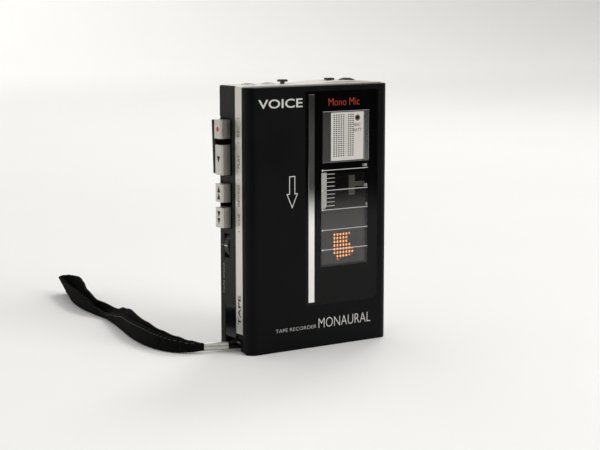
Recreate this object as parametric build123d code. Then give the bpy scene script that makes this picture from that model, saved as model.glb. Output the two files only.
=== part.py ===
from build123d import *
import math
import os

os.makedirs("parts", exist_ok=True)

# Pocket cassette recorder standing on its base. Millimetres.
# The origin is the middle of the base. +X is to the right of the front, +Y goes into the depth, +Z is up.
# Places on the case are given as (x, d, z): x from the left wall, d from the front face, z from the base.

# ---- driving dimensions ----
WIDTH = 74.0
HEIGHT = 116.0
DEPTH = 25.2
LID_DEPTH = 5.6  # thickness of the cassette lid
BAND_BACK = 11.0  # the silver band ends here, measured from the front face
WALL = 1.4  # rear cover
LID_SKIN = 1.5
LID_WALL = 1.2
LID_TOP = HEIGHT - 0.4
LID_CORNER = 3.8  # radius of the lid's vertical edges
REAR_CORNER = 2.2  # radius of the rear cover's vertical edges
CLEAR = 0.25  # room between parts that move

# cassette: 100.4 x 63.8 x 12, its open edge towards the left wall
CASSETTE_LEFT = 8.8
CASSETTE_BOTTOM = 7.8
CASSETTE_MIDDLE = CASSETTE_BOTTOM + 50.2
HUB_PITCH = 42.5
HUB_X = CASSETTE_LEFT + 34.8
TAKEUP_Z = CASSETTE_MIDDLE - HUB_PITCH / 2
SUPPLY_Z = CASSETTE_MIDDLE + HUB_PITCH / 2
CAPSTAN_X = CASSETTE_LEFT + 6.5
CAPSTAN_Z = CASSETTE_MIDDLE - 30.0

# layers behind the cassette, as distances from the front face
DECK = (14.2, 15.0)
CHASSIS = (15.1, 16.1)
INNER_BACK = DEPTH - WALL
BEHIND = CHASSIS[1] + 0.3  # the drive's reel tables start here

# front panel and what is let into it
PANEL_X = (28.9, 68.0)
PANEL_Z = (18.7, 113.2)
PANEL_BACK = 0.9
PANEL_FRONT = 0.02
PANEL_CORNER = 3.1  # radius of the pocket's lower right corner
WINDOW_X = (37.0, 62.5)
WINDOW_Z = (35.5, 77.7)
MIC_X = (37.8, 63.0)
MIC_Z = (81.7, 104.2)
GRILLE_X = (42.2, 60.0)
GRILLE_Z = (82.3, 103.6)
STRIP_X = (30.5, 33.7)
STRIP_Z = (20.3, 111.9)
LAMP_X = 56.6
LAMP_Z = 100.9
LAMP_R = 1.0
LEDGE = 1.0  # the lid's rim behind the edges of the window and the microphone

# running indicator: a punched mask in front of a disc on the take-up side
DOT_PITCH = 1.63
DOT_R = 0.56
DOT_COUNT = 8
DOT_X = 45.4
DOT_Z = 37.9
DISC_R = 17.4

# lid hinge
HINGE_D = 2.8
HINGE_Z = 2.8
HINGE_ARMS = ((6.0, 9.0), (65.0, 68.0))
HINGE_PIN_R = 0.7
HINGE_PIN_REACH = 2.4
LID_FOOT = 5.9  # the lid is solid below this height

# keys: name, lowest z, highest z, how far its cap stands out
KEYS = (
    ("record", 93.3, 101.4, 5.0),
    ("play", 77.6, 90.6, 4.6),
    ("rewind", 65.8, 73.7, 4.6),
    ("forward", 54.7, 63.4, 4.6),
)
KEY_DEPTH = (14.4, 20.2)
KEY_TRAVEL = 2.4
KEY_SLIDE_HALF = 2.6
KEY_SLIDE_DEPTH = (16.5, 19.9)
KEY_SLIDE_END = 14.0
CAP_BACK = -0.4
CAP_THICK = 0.5
STOP_DEPTH = (20.6, 22.8)
STOP_Z = (77.8, 101.2)
STOP_SLIDE_Z = (84.0, 95.0)
WELLS = ((77.0, 102.0), (54.1, 74.1))
NOTCH_DEPTH = (21.9, 26.0)  # the upper well runs out to the back for its last millimetre
NOTCH_Z = (101.4, 102.6)
WELL_DEPTH = (13.9, 23.2)
GUIDE_X = (5.6, 12.4)
GUIDE_Z = (55.2, 101.0)

# drive
FLYWHEEL_R = 10.4
FLYWHEEL_D = (17.0, 20.0)
FLYWHEEL_PULLEY_R = 6.0
CAPSTAN_R = 1.0
REEL_TABLE_R = 9.0
REEL_TABLE_D = (BEHIND, BEHIND + 2.0)
WHEEL_GAP = 0.1
MOTOR_X = 58.0
MOTOR_Z = 58.0
MOTOR_R = 10.5
MOTOR_PULLEY_R = 2.0
BELT_R = 0.5
BELT_D = 22.0
SHAFT_R = 2.0
SPINDLE_R = 3.2
SPINDLE_FIN_R = 4.2
RUNNING = 0.06  # radial clearance of a shaft in its hole

# heads and pinch roller
HEAD_PLATE_X = (5.8, 17.0)
HEAD_PLATE_Z = (34.0, 100.0)
PINCH_PIVOT = (8.4, 14.0)
ROLLER_X = 7.8
ROLLER_R = 4.0
ROLLER_AXLE_R = 0.8

# top controls
TOP_D = 15.0
JACK_D = 17.6
MIC_JACK_X = 10.6
EAR_JACK_X = 21.0
JACK_BORE_R = 1.8
JACK_R = 3.0
JACK_FOOT = 102.0
JACK_TOP = HEIGHT + 0.5
KNOBS = (("left_switch_knob", 26.9, 5.0), ("right_switch_knob", 51.9, -4.2))
KNOB_HALF = 1.75
KNOB_TOP = HEIGHT + 1.9
SWITCH_Z = (109.0, 113.6)
VOLUME_X = 61.2
VOLUME_R = 8.2
VOLUME_Z = HEIGHT + 1.7 - VOLUME_R
VOLUME_D = (13.3, 16.4)
SPEED_R = 7.2
SPEED_X = SPEED_R - 0.6
SPEED_Z = 46.3
SPEED_D = (16.5, 19.9)
SPEED_SLOT_D = (15.9, 20.4)
SPEED_SLOT_Z = (41.0, 51.6)
PIVOT_R = 1.0

# batteries: two AAA cells side by side behind the thin part of the cassette
BAY_X = (26.1, 72.4)
BAY_Z = (1.7, 23.6)
TRAY_D = (12.5, 23.2)
CELL_Z = (7.1, 18.2)
DOOR_X = (24.6, 72.0)
DOOR_TOP = 24.4
DOOR_THICK = 0.9

# electronics
SPEAKER_X = 50.0
SPEAKER_Z = 91.0
SPEAKER_R = 14.0
SPEAKER_D = (18.8, 23.6)
SLOT_PITCH = 2.6
BOARD_X = (18.6, 34.6)
BOARD_Z = (49.5, 99.0)
BOARD_D = (17.0, 18.0)

# screws that hold the rear cover, as (x, z)
SCREWS = ((4.6, 110.4), (69.4, 110.4), (21.5, 5.0), (69.4, 28.5))
SCREW_R = 0.75
SCREW_HEAD_R = 1.6
BOSS_R = 2.0

# strap
CORD_R = 0.75
PIN_R = 0.9
PIN_X = 4.2
PIN_Z = 3.4
FERRULE_R = 1.8
FERRULE = ((-2.1, 14.4), (-12.1, 18.6))
FERRULE_Z = 2.6
WEBBING_WIDTH = 10.0
WEBBING_THICK = 1.2
WEBBING_Z = 5.4
CORD_ROUTE = (
    (-7.6, 16.7, 3.4),
    (-2.1, 14.4, 3.4),
    (1.2, 13.9, 4.5),
    (4.4, 13.8, 5.2),
    (6.1, 13.8, 4.3),
    (6.1, 13.8, 2.5),
    (4.4, 13.8, 1.6),
    (1.2, 13.9, 1.8),
    (-2.1, 14.4, 1.8),
    (-7.6, 16.7, 1.8),
)
WEBBING_ROUTE = (
    (-12.1, 18.6),
    (-20.2, 21.0),
    (-25.3, 30.2),
    (-26.5, 45.5),
    (-23.6, 63.5),
    (-17.6, 85.5),
    (-12.7, 106.5),
)
LOOP_ROUTE = (
    (-13.35, 106.65),
    (-14.2, 122.0),
    (-13.4, 139.0),
    (-10.0, 154.5),
    (-5.4, 168.5),
    (-2.4, 178.6),
    (1.0, 179.6),
    (1.4, 170.5),
    (-2.4, 157.0),
    (-6.6, 142.0),
    (-10.2, 125.0),
    (-12.05, 106.35),
)


# ---- helpers ----
def spot(x, d, z):
    return Vector(x - WIDTH / 2, d - DEPTH / 2, z)


def block(x, d, z):
    """A box from pairs of limits along x, depth and z."""
    low = spot(x[0], d[0], z[0])
    high = spot(x[1], d[1], z[1])
    size = high - low
    return Pos((low + high) * 0.5) * Box(size.X, size.Y, size.Z)


def rod_across(x, d, z, radius):
    """A cylinder along x between the two values of x."""
    start = Plane(origin=spot(x[0], d, z), z_dir=(1, 0, 0))
    return extrude(start * Circle(radius), x[1] - x[0])


def rod_deep(x, d, z, radius):
    """A cylinder along the depth between the two values of d."""
    start = Plane(origin=spot(x, d[0], z), z_dir=(0, 1, 0))
    return extrude(start * Circle(radius), d[1] - d[0])


def rod_up(x, d, z, radius):
    """A cylinder along z between the two values of z."""
    start = Plane(origin=spot(x, d, z[0]), z_dir=(0, 0, 1))
    return extrude(start * Circle(radius), z[1] - z[0])


def edges_at(shape, along, **limits):
    """The straight edges of a shape along one axis, whose middles lie at the given x, d or z."""
    columns = {"x": (0, WIDTH / 2), "d": (1, DEPTH / 2), "z": (2, 0.0)}
    chosen = shape.edges().filter_by(along)
    for name, value in limits.items():
        column, offset = columns[name]
        chosen = [e for e in chosen if abs(tuple(e.center())[column] + offset - value) < 0.02]
    return chosen


def front_edges(shape):
    return shape.faces().sort_by(Axis.Y)[0].edges()


def widened(limits, amount):
    """A pair of limits moved apart by an amount at each end, or together when it is negative."""
    return (limits[0] - amount, limits[1] + amount)


def joined(shapes):
    total = shapes[0]
    for shape in shapes[1:]:
        total = total + shape
    return total


def group(shapes):
    return Compound(children=list(shapes))


def write(name, shape):
    export_step(shape, "parts/" + name + ".step")


# ---- lid ----
def lid_shell():
    body = block((0, WIDTH), (0, LID_DEPTH), (0, LID_TOP))
    body = fillet(edges_at(body, Axis.X, d=LID_DEPTH, z=0), HINGE_D - 0.1)
    body = fillet(edges_at(body, Axis.Z, d=0), LID_CORNER)
    body = fillet(front_edges(body), 0.5)
    inner_x = widened((0, WIDTH), -LID_WALL)
    hollow = block(inner_x, (LID_SKIN, LID_DEPTH + 1), (LID_FOOT, LID_TOP - LID_WALL))
    hollow = fillet(edges_at(hollow, Axis.Z, d=LID_SKIN), LID_CORNER - LID_WALL)
    body = body - hollow
    pocket = block(PANEL_X, (-1, PANEL_BACK), PANEL_Z)
    body = body - fillet(edges_at(pocket, Axis.Y, x=PANEL_X[1], z=PANEL_Z[0]), PANEL_CORNER)
    body = body - block(widened(WINDOW_X, -LEDGE), (0, 3), widened(WINDOW_Z, -LEDGE))
    body = body - block(widened(MIC_X, -LEDGE), (0, 3), widened(MIC_Z, -LEDGE))
    for arm in HINGE_ARMS:
        body = body - block(widened(arm, CLEAR), (1.2, LID_DEPTH + 1), (-1, HINGE_Z + 2.2))
        body = body - rod_across(widened(arm, HINGE_PIN_REACH), HINGE_D, HINGE_Z, HINGE_PIN_R)
    return body


def front_panel():
    sheet = block(widened(PANEL_X, -0.1), (PANEL_FRONT, PANEL_BACK), widened(PANEL_Z, -0.1))
    sheet = fillet(edges_at(sheet, Axis.Y, x=PANEL_X[1] - 0.1, z=PANEL_Z[0] + 0.1), PANEL_CORNER - 0.1)
    sheet = sheet - block(WINDOW_X, (-1, 3), WINDOW_Z)
    sheet = sheet - block(MIC_X, (-1, 3), MIC_Z)
    return sheet - block(STRIP_X, (-1, 3), STRIP_Z)


def accent_strip():
    strip = block(widened(STRIP_X, -0.05), (-0.15, PANEL_BACK), widened(STRIP_Z, -0.05))
    return chamfer(front_edges(strip), 0.05)


def tape_window():
    return block(widened(WINDOW_X, -0.05), (PANEL_FRONT, PANEL_BACK), widened(WINDOW_Z, -0.05))


def mic_bezel():
    frame = block(widened(MIC_X, -0.05), (-0.35, PANEL_BACK), widened(MIC_Z, -0.05))
    frame = chamfer(front_edges(frame), 0.12)
    return frame - block(GRILLE_X, (-1, 3), GRILLE_Z)


def mic_grille():
    plate = block(widened(GRILLE_X, -0.05), (-0.2, 0.4), widened(GRILLE_Z, -0.05))
    return plate - rod_deep(LAMP_X, (-1, 1), LAMP_Z, LAMP_R + 0.05)


def mic_capsule():
    can = rod_deep(48.6, (0.45, 3.2), 93.0, 5.0)
    return fillet(can.faces().sort_by(Axis.Y)[-1].edges(), 0.3)


def record_lamp():
    lens = rod_deep(LAMP_X, (-0.4, 2.4), LAMP_Z, LAMP_R)
    lens = fillet(front_edges(lens), 0.3)
    return lens + rod_deep(LAMP_X, (0.45, 2.4), LAMP_Z, LAMP_R + 0.4)


def indicator_mask():
    plate = block(widened(WINDOW_X, -0.1), (LID_SKIN, LID_SKIN + 0.4), (34.7, 60.6))
    dots = []
    for column in range(DOT_COUNT):
        for row in range(DOT_COUNT):
            x = DOT_X + column * DOT_PITCH
            z = DOT_Z + row * DOT_PITCH
            dots.append(rod_deep(x, (1, 2.5), z, DOT_R))
    pin = rod_deep(HUB_X, (LID_SKIN + 0.4, 3.9), TAKEUP_Z, ROLLER_AXLE_R)
    return (plate - dots) + pin


def indicator_disc():
    disc = rod_deep(HUB_X, (2.25, 2.85), TAKEUP_Z, DISC_R)
    boss = rod_deep(HUB_X, (2.85, 4.4), TAKEUP_Z, 3.0)
    bore = rod_deep(HUB_X, (2, 4.1), TAKEUP_Z, ROLLER_AXLE_R + RUNNING)
    return (disc + boss) - bore


def cassette_spring():
    foot = block((53.0, 64.0), (LID_SKIN, LID_SKIN + 0.3), (70.2, 72.4))
    blade = block((53.0, 56.2), (LID_SKIN, LID_SKIN + 0.3), (66.6, 75.4))
    pad = block((53.7, 55.5), (LID_SKIN + 0.3, 3.1), (69.6, 73.0))
    return joined([foot, blade, pad])


def hinge_pins():
    radius = HINGE_PIN_R
    return group(
        rod_across(widened(arm, HINGE_PIN_REACH), HINGE_D, HINGE_Z, radius) for arm in HINGE_ARMS
    )


def hinge_carrier():
    """A bar that slides down inside the case; its two arms hold the lid's pins."""
    pieces = [block((4.2, 70.0), (8.0, 9.0), (2.0, 4.4))]
    for arm in HINGE_ARMS:
        pieces.append(block(arm, (HINGE_D, 9.0), (HINGE_Z - 1.2, HINGE_Z + 1.2)))
        pieces.append(rod_across(arm, HINGE_D, HINGE_Z, 1.2))
    carrier = joined(pieces)
    for arm in HINGE_ARMS:
        carrier = carrier - rod_across(widened(arm, 1), HINGE_D, HINGE_Z, HINGE_PIN_R + RUNNING)
    return carrier


# ---- case ----
def middle_case():
    """The black moulding that carries the silver band and walls in the cassette."""
    ring = block(widened((0, WIDTH), -0.65), (LID_DEPTH + 0.2, BAND_BACK - 0.1), (0.6, HEIGHT - 1.2))
    ring = ring - block((1.9, WIDTH - 1.1), (0, 30), (7.0, HEIGHT - 3.0))
    ring = ring - block(widened((0, WIDTH), -2.0), (0, 9.1), (-5, 7.5))
    return ring - block((-1, 7.0), (8.4, 30), (-1, 6.1))


def silver_band():
    """One bent strip: a leg down each side, and the top plate between them."""
    band = block((0, WIDTH), (LID_DEPTH + 0.1, BAND_BACK), (8.6, HEIGHT))
    band = fillet(edges_at(band, Axis.Y, z=HEIGHT), 0.9)
    band = band - block(widened((0, WIDTH), -0.6), (0, 30), (0, HEIGHT - 0.8))
    plate = block(widened((0, WIDTH), -1.0), (LID_DEPTH + 0.1, DEPTH - 1.2), (HEIGHT - 0.8, HEIGHT))
    plate = fillet(edges_at(plate, Axis.X, z=HEIGHT), 0.3)
    return top_openings(band + plate + top_crown(), 6.2)


def top_crown():
    """A shallow rise of the top plate round the volume wheel, arched from end to end."""
    rise = 0.8
    start, end = 38.0, 71.5
    half = (end - start) / 2
    radius = (half**2 + rise**2) / (2 * rise)
    drum = rod_deep((start + end) / 2, (LID_DEPTH + 1.0, DEPTH - 2.2), HEIGHT + rise - radius, radius)
    return drum & block((start, end), (0, 30), (HEIGHT - 0.3, HEIGHT + 2))


def top_openings(body, wheel_half):
    """Cuts the openings for the jacks, slide knobs and volume wheel."""
    for x in (MIC_JACK_X, EAR_JACK_X):
        body = body - rod_up(x, JACK_D, (105, 125), JACK_R + 0.05)
    for name, x, travel in KNOBS:
        left = min(x, x + travel) - 1.1
        right = max(x, x + travel) + 1.1
        body = body - block((left, right), (TOP_D - 0.8, TOP_D + 0.8), (105, 125))
    return body - block((VOLUME_X - wheel_half, VOLUME_X + wheel_half), widened(VOLUME_D, CLEAR), (105, 125))


def rear_cover():
    body = block((0, WIDTH), (BAND_BACK + 0.05, DEPTH), (0, HEIGHT - 0.1))
    body = fillet(edges_at(body, Axis.Z, d=DEPTH), REAR_CORNER)
    body = fillet(body.faces().sort_by(Axis.Y)[-1].edges(), 0.8)
    hollow = block(widened((0, WIDTH), -WALL), (0, INNER_BACK), (WALL, HEIGHT - 1.9))
    body = body - fillet(edges_at(hollow, Axis.Z, d=INNER_BACK), 1.0)
    body = body - block(widened((0, WIDTH), -0.9), (0, DEPTH - 1.1), (HEIGHT - 0.9, HEIGHT + 5))
    body = body + [rod_deep(x, (16.6, INNER_BACK + 0.5), z, BOSS_R) for x, z in SCREWS]
    for well in WELLS:
        body = body - block((-1, 3), WELL_DEPTH, well)
    body = body - block((-1, 1.0), NOTCH_DEPTH, NOTCH_Z)
    body = body - block((-1, 3), SPEED_SLOT_D, SPEED_SLOT_Z)
    body = body - block((-1, 2.3), (11.4, 20.1), (-1, 20.4))
    body = body - block((-1, 8.5), (0, 20.1), (-1, 7.3))
    body = top_openings(body, 7.5)
    body = body - block(widened(DOOR_X, 0.1), (DEPTH - DOOR_THICK - 0.1, DEPTH + 1), (-1, DOOR_TOP + 0.1))
    body = body - block(BAY_X, (20, 30), BAY_Z)
    body = body - speaker_slots()
    for x, z in SCREWS:
        body = body - rod_deep(x, (10, 30), z, SCREW_R)
        body = body - rod_deep(x, (DEPTH - 0.9, 30), z, SCREW_HEAD_R + 0.1)
    return body


def speaker_slots():
    """Nine level slots over the speaker, their ends on a circle."""
    reach = SPEAKER_R - 2.0
    slots = []
    for row in range(-4, 5):
        z = SPEAKER_Z + row * SLOT_PITCH
        half = math.sqrt(reach**2 - (row * SLOT_PITCH) ** 2)
        slots.append(block((SPEAKER_X - half, SPEAKER_X + half), (20, 30), (z - 0.55, z + 0.55)))
    return slots


def strap_bracket():
    """A corner block: an outer face, and two cheeks that hold the strap's pin."""
    face = block((0.15, 2.2), (11.5, 20.0), (6.2, 20.3))
    roof = block((0.15, 8.4), (11.5, 20.0), (6.2, 7.2))
    cheeks = [block((2.4, 8.4), d, (1.3, 7.2)) for d in ((11.5, 12.5), (18.8, 20.0))]
    body = joined([face, roof] + cheeks)
    return body - rod_deep(PIN_X, (10, 21), PIN_Z, PIN_R)


def strap_pin():
    return rod_deep(PIN_X, (11.6, 19.9), PIN_Z, PIN_R)


# ---- chassis ----
def deck_cover():
    """The black moulding seen with the lid open, with the battery tray's wall and roof on it."""
    plate = block((20.0, 72.4), DECK, (24.3, 108.6))
    tray_roof = block((25.2, 72.4), TRAY_D, (BAY_Z[1], 24.3))
    tray_wall = block((25.2, BAY_X[0]), TRAY_D, (1.6, 24.3))
    body = joined([plate, tray_roof, tray_wall])
    for z in (TAKEUP_Z, SUPPLY_Z):
        body = body - rod_deep(HUB_X, (10, 20), z, SPINDLE_FIN_R + 0.8)
    body = body - block((19, 27.0), (10, 20), (100.6, 110))
    return body - block((VOLUME_X - 9.2, VOLUME_X + 9.2), (10, 20), (99.8, 110))


def chassis_plate():
    plate = block((5.6, 72.2), CHASSIS, (24.8, 99.4)) + block((5.6, 24.8), CHASSIS, (10.0, 30.0))
    for z in (TAKEUP_Z, SUPPLY_Z):
        plate = plate - rod_deep(HUB_X, (10, 20), z, SHAFT_R + RUNNING)
    plate = plate - rod_deep(CAPSTAN_X, (10, 20), CAPSTAN_Z, CAPSTAN_R + RUNNING)
    plate = plate - block((13.4, 18.6), (10, 20), (80.5, 86.5))
    idler = idler_centre()
    posts = [rod_deep(idler[0], (CHASSIS[1], 18.9), idler[1], PIVOT_R)]
    posts.append(rod_deep(SPEED_X, (CHASSIS[1], 20.4), SPEED_Z, PIVOT_R))
    posts.append(rod_deep(PINCH_PIVOT[0], (13.8, CHASSIS[0]), PINCH_PIVOT[1], PIVOT_R))
    return joined([plate] + posts)


def idler_radius():
    span = math.hypot(HUB_X - CAPSTAN_X, TAKEUP_Z - CAPSTAN_Z)
    return (span - FLYWHEEL_R - REEL_TABLE_R) / 2 - WHEEL_GAP


def idler_centre():
    """On the line from the capstan to the take-up spindle, between the two rims."""
    run = Vector(HUB_X - CAPSTAN_X, 0, TAKEUP_Z - CAPSTAN_Z).normalized()
    reach = FLYWHEEL_R + WHEEL_GAP + idler_radius()
    return CAPSTAN_X + run.X * reach, CAPSTAN_Z + run.Z * reach


def spindle(z):
    """A reel table behind the chassis, and the finned hub that turns the cassette's reel."""
    table = rod_deep(HUB_X, REEL_TABLE_D, z, REEL_TABLE_R)
    shaft = rod_deep(HUB_X, (13.8, REEL_TABLE_D[0]), z, SHAFT_R)
    hub = rod_deep(HUB_X, (5.0, 13.8), z, SPINDLE_R)
    hub = chamfer(front_edges(hub), 1.4)
    fins = []
    for turn in range(3):
        fin = block((HUB_X, HUB_X + SPINDLE_FIN_R), (6.6, 13.8), (z - 0.5, z + 0.5))
        fins.append(fin.rotate(Axis(spot(HUB_X, 0, z), (0, 1, 0)), 120 * turn))
    return joined([table, shaft, hub] + fins)


def capstan():
    return rod_deep(CAPSTAN_X, (4.6, 23.2), CAPSTAN_Z, CAPSTAN_R)


def grooved_pulley(x, d, z, radius, rim):
    """A pulley with a round groove for the belt round its middle."""
    body = rod_deep(x, d, z, rim)
    ring = Torus(radius + BELT_R, BELT_R + 0.02)
    ring = Plane(origin=spot(x, BELT_D, z), z_dir=(0, 1, 0)) * ring
    return body - ring


def flywheel():
    disc = rod_deep(CAPSTAN_X, FLYWHEEL_D, CAPSTAN_Z, FLYWHEEL_R)
    disc = chamfer(disc.edges(), 0.3)
    pulley = grooved_pulley(
        CAPSTAN_X, (FLYWHEEL_D[1], 23.2), CAPSTAN_Z, FLYWHEEL_PULLEY_R, FLYWHEEL_PULLEY_R + 0.6
    )
    return (disc + pulley) - rod_deep(CAPSTAN_X, (10, 30), CAPSTAN_Z, CAPSTAN_R)


def motor():
    can = rod_deep(MOTOR_X, (BEHIND, 20.9), MOTOR_Z, MOTOR_R)
    can = fillet(can.edges(), 0.8)
    shaft = rod_deep(MOTOR_X, (20.9, 23.0), MOTOR_Z, 0.5)
    return can + shaft


def motor_pulley():
    pulley = grooved_pulley(MOTOR_X, (21.1, 22.9), MOTOR_Z, MOTOR_PULLEY_R, MOTOR_PULLEY_R + 0.6)
    return pulley - rod_deep(MOTOR_X, (20, 24), MOTOR_Z, 0.5 + RUNNING)


def drive_belt():
    """A round belt on the two pulleys: two arcs and the two straight runs that touch them."""
    large = FLYWHEEL_PULLEY_R + BELT_R + 0.01
    small = MOTOR_PULLEY_R + BELT_R + 0.01
    run = math.hypot(MOTOR_X - CAPSTAN_X, MOTOR_Z - CAPSTAN_Z)
    slope = math.degrees(math.asin((large - small) / run))
    flat = Plane(
        origin=spot(CAPSTAN_X, BELT_D, CAPSTAN_Z),
        x_dir=Vector(MOTOR_X - CAPSTAN_X, 0, MOTOR_Z - CAPSTAN_Z),
        z_dir=(0, 1, 0),
    )
    turn = 90 - slope
    round_large = CenterArc((0, 0), large, turn, 360 - 2 * turn)
    round_small = CenterArc((run, 0), small, -turn, 2 * turn)
    top = Line(round_small @ 1, round_large @ 0)
    foot = Line(round_large @ 1, round_small @ 0)
    path = flat * Wire([round_large, foot, round_small, top])
    section = Plane(origin=path @ 0, z_dir=path % 0) * Circle(BELT_R)
    return sweep(section, path)


def idler_wheel():
    x, z = idler_centre()
    wheel = rod_deep(x, (17.2, 18.3), z, idler_radius())
    return wheel - rod_deep(x, (10, 30), z, PIVOT_R + RUNNING)


# ---- heads ----
def head_plate():
    plate = block(HEAD_PLATE_X, DECK, HEAD_PLATE_Z)
    tab = block((KEY_SLIDE_END + 0.05, KEY_SLIDE_END + 1.05), (DECK[1], 19.0), (81.0, 86.0))
    plate = plate - block((12.0, 18.0), (10, 20), (66.0, 76.0))
    plate = plate - block((12.0, 18.0), (10, 20), (38.0, 50.0))
    return plate + tab


def record_play_head():
    body = block((4.8, 8.6), (3.0, 12.8), (52.8, 63.2))
    nose = rod_deep(6.0, (3.0, 12.8), CASSETTE_MIDDLE, 5.4) & block((8.6, 12), (0, 20), (50, 66))
    foot = block((4.6, 11.0), (12.8, DECK[0]), (51.0, 65.0))
    return joined([body, nose, foot])


def erase_head():
    body = block((5.0, 9.2), (4.4, 12.8), (79.0, 85.0))
    nose = rod_deep(8.0, (4.4, 12.8), 82.0, 3.0) & block((9.2, 12), (0, 20), (76, 88))
    foot = block((4.8, 10.2), (12.8, DECK[0]), (78.4, 85.6))
    return joined([body, nose, foot])


def pinch_arm():
    pivot_x, pivot_z = PINCH_PIVOT
    arm = block((pivot_x - 2.4, pivot_x + 1.6), DECK, (pivot_z, CAPSTAN_Z))
    eye = rod_deep(pivot_x, DECK, pivot_z, 2.4)
    end = rod_deep(ROLLER_X, DECK, CAPSTAN_Z, 2.4)
    axle = rod_deep(ROLLER_X, (3.9, DECK[0]), CAPSTAN_Z, ROLLER_AXLE_R)
    return joined([arm, eye, end, axle]) - rod_deep(pivot_x, (10, 20), pivot_z, PIVOT_R + RUNNING)


def pinch_roller():
    roller = rod_deep(ROLLER_X, (4.4, 11.4), CAPSTAN_Z, ROLLER_R)
    return roller - rod_deep(ROLLER_X, (3, 13), CAPSTAN_Z, ROLLER_AXLE_R + RUNNING)


# ---- keys ----
def key_slide(low, high, proud):
    """The black part of a key: a head that fills the cap, and a slide that runs in the guide."""
    middle = (low + high) / 2
    head = block((-proud + CAP_THICK, 3.0), widened(KEY_DEPTH, -CAP_THICK), (low + 0.2, high - 0.2))
    skirt = block((CAP_BACK, 3.0), widened(KEY_DEPTH, -0.1), (low - 0.15, high + 0.15))
    slide_z = (middle - KEY_SLIDE_HALF, middle + KEY_SLIDE_HALF)
    slide = block((3.0, KEY_SLIDE_END), KEY_SLIDE_DEPTH, slide_z)
    return joined([head, skirt, slide])


def key_cap(low, high, proud):
    """The silver cap: an end face and a bent front and back, open at the two ends."""
    cap = block((-proud, CAP_BACK), KEY_DEPTH, (low, high))
    cap = chamfer(edges_at(cap, Axis.Z, x=-proud, d=KEY_DEPTH[0]), 0.7)
    cap = chamfer(edges_at(cap, Axis.Z, x=-proud, d=KEY_DEPTH[1]), 0.3)
    return cap - block((-proud + CAP_THICK, 5), widened(KEY_DEPTH, -CAP_THICK), (low + 0.2, high - 0.2))


def stop_key():
    """A thin bar behind the upper two keys, which stands out a little further at its top."""
    corners = [(3.0, STOP_Z[0]), (3.0, STOP_Z[1]), (-4.6, STOP_Z[1]), (-3.9, STOP_Z[0])]
    outline = Polyline(*[spot(x, STOP_DEPTH[0], z) for x, z in corners], close=True)
    bar = extrude(make_face(outline), STOP_DEPTH[1] - STOP_DEPTH[0], dir=(0, 1, 0))
    outer = [e for e in bar.edges().filter_by(Axis.Y) if e.center().X < -WIDTH / 2 - 3]
    bar = fillet(outer, 0.5)
    return bar + block((3.0, KEY_SLIDE_END), STOP_DEPTH, STOP_SLIDE_Z)


def key_guide():
    body = block(GUIDE_X, (16.2, 23.4), GUIDE_Z)
    for name, low, high, proud in KEYS:
        middle = (low + high) / 2
        slide_z = widened((middle - KEY_SLIDE_HALF, middle + KEY_SLIDE_HALF), 0.15)
        body = body - block((0, 20), widened(KEY_SLIDE_DEPTH, 0.15), slide_z)
    body = body - block((0, 20), widened(STOP_DEPTH, 0.15), widened(STOP_SLIDE_Z, 0.15))
    return body - block((0, 20), (20.6, 24), (54, 80))


# ---- controls and electronics ----
def jack(x):
    barrel = rod_up(x, JACK_D, (JACK_FOOT, JACK_TOP), JACK_R)
    barrel = chamfer(barrel.faces().sort_by(Axis.Z)[-1].edges(), 0.3)
    return barrel - rod_up(x, JACK_D, (JACK_FOOT + 0.8, 125), JACK_BORE_R)


def slide_knob(x):
    pad = block((x - KNOB_HALF, x + KNOB_HALF), (TOP_D - 1.5, TOP_D + 1.5), (HEIGHT + 0.95, KNOB_TOP))
    pad = chamfer(pad.faces().sort_by(Axis.Z)[-1].edges(), 0.25)
    stem = block((x - 0.8, x + 0.8), (TOP_D - 0.6, TOP_D + 0.6), (SWITCH_Z[1] + 0.2, HEIGHT + 0.95))
    return pad + stem


def switch_bodies():
    bodies = []
    for name, x, travel in KNOBS:
        limits = (min(x, x + travel) - 2.4, max(x, x + travel) + 1.0)
        bodies.append(block(limits, (TOP_D - 2.2, TOP_D + 2.2), SWITCH_Z))
    return group(bodies)


def thumbwheel(x, d, z, radius, teeth):
    """A wheel on an axis along the depth, with shallow flutes round its rim."""
    wheel = rod_deep(x, d, z, radius)
    wheel = chamfer(wheel.edges(), 0.3)
    flutes = []
    for tooth in range(teeth):
        angle = math.radians(360 * tooth / teeth)
        flute_x = x + (radius + 0.25) * math.cos(angle)
        flute_z = z + (radius + 0.25) * math.sin(angle)
        flutes.append(rod_deep(flute_x, (d[0] - 1, d[1] + 1), flute_z, 0.45))
    return wheel - flutes - rod_deep(x, (d[0] - 1, d[1] + 1), z, PIVOT_R + RUNNING)


def circuit_board():
    board = block(BOARD_X, BOARD_D, BOARD_Z)
    chips = [block((21.0, 30.0), (BOARD_D[1], 19.6), (78.0, 88.0))]
    chips.append(block((22.0, 28.0), (BOARD_D[1], 19.4), (62.0, 70.0)))
    cans = [rod_deep(x, (BOARD_D[1], 22.4), z, 2.0) for x, z in ((31.6, 60.0), (31.6, 66.0), (24.0, 94.0))]
    return joined([board] + chips + cans)


def volume_control():
    """The volume wheel's shaft and its small control, which hangs from the cover's top wall."""
    post = rod_deep(VOLUME_X, (12.4, 17.6), VOLUME_Z, PIVOT_R)
    return post + block((VOLUME_X - 4.0, VOLUME_X + 4.0), (17.1, 18.3), (VOLUME_Z - 3.0, HEIGHT - 1.9))


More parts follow.
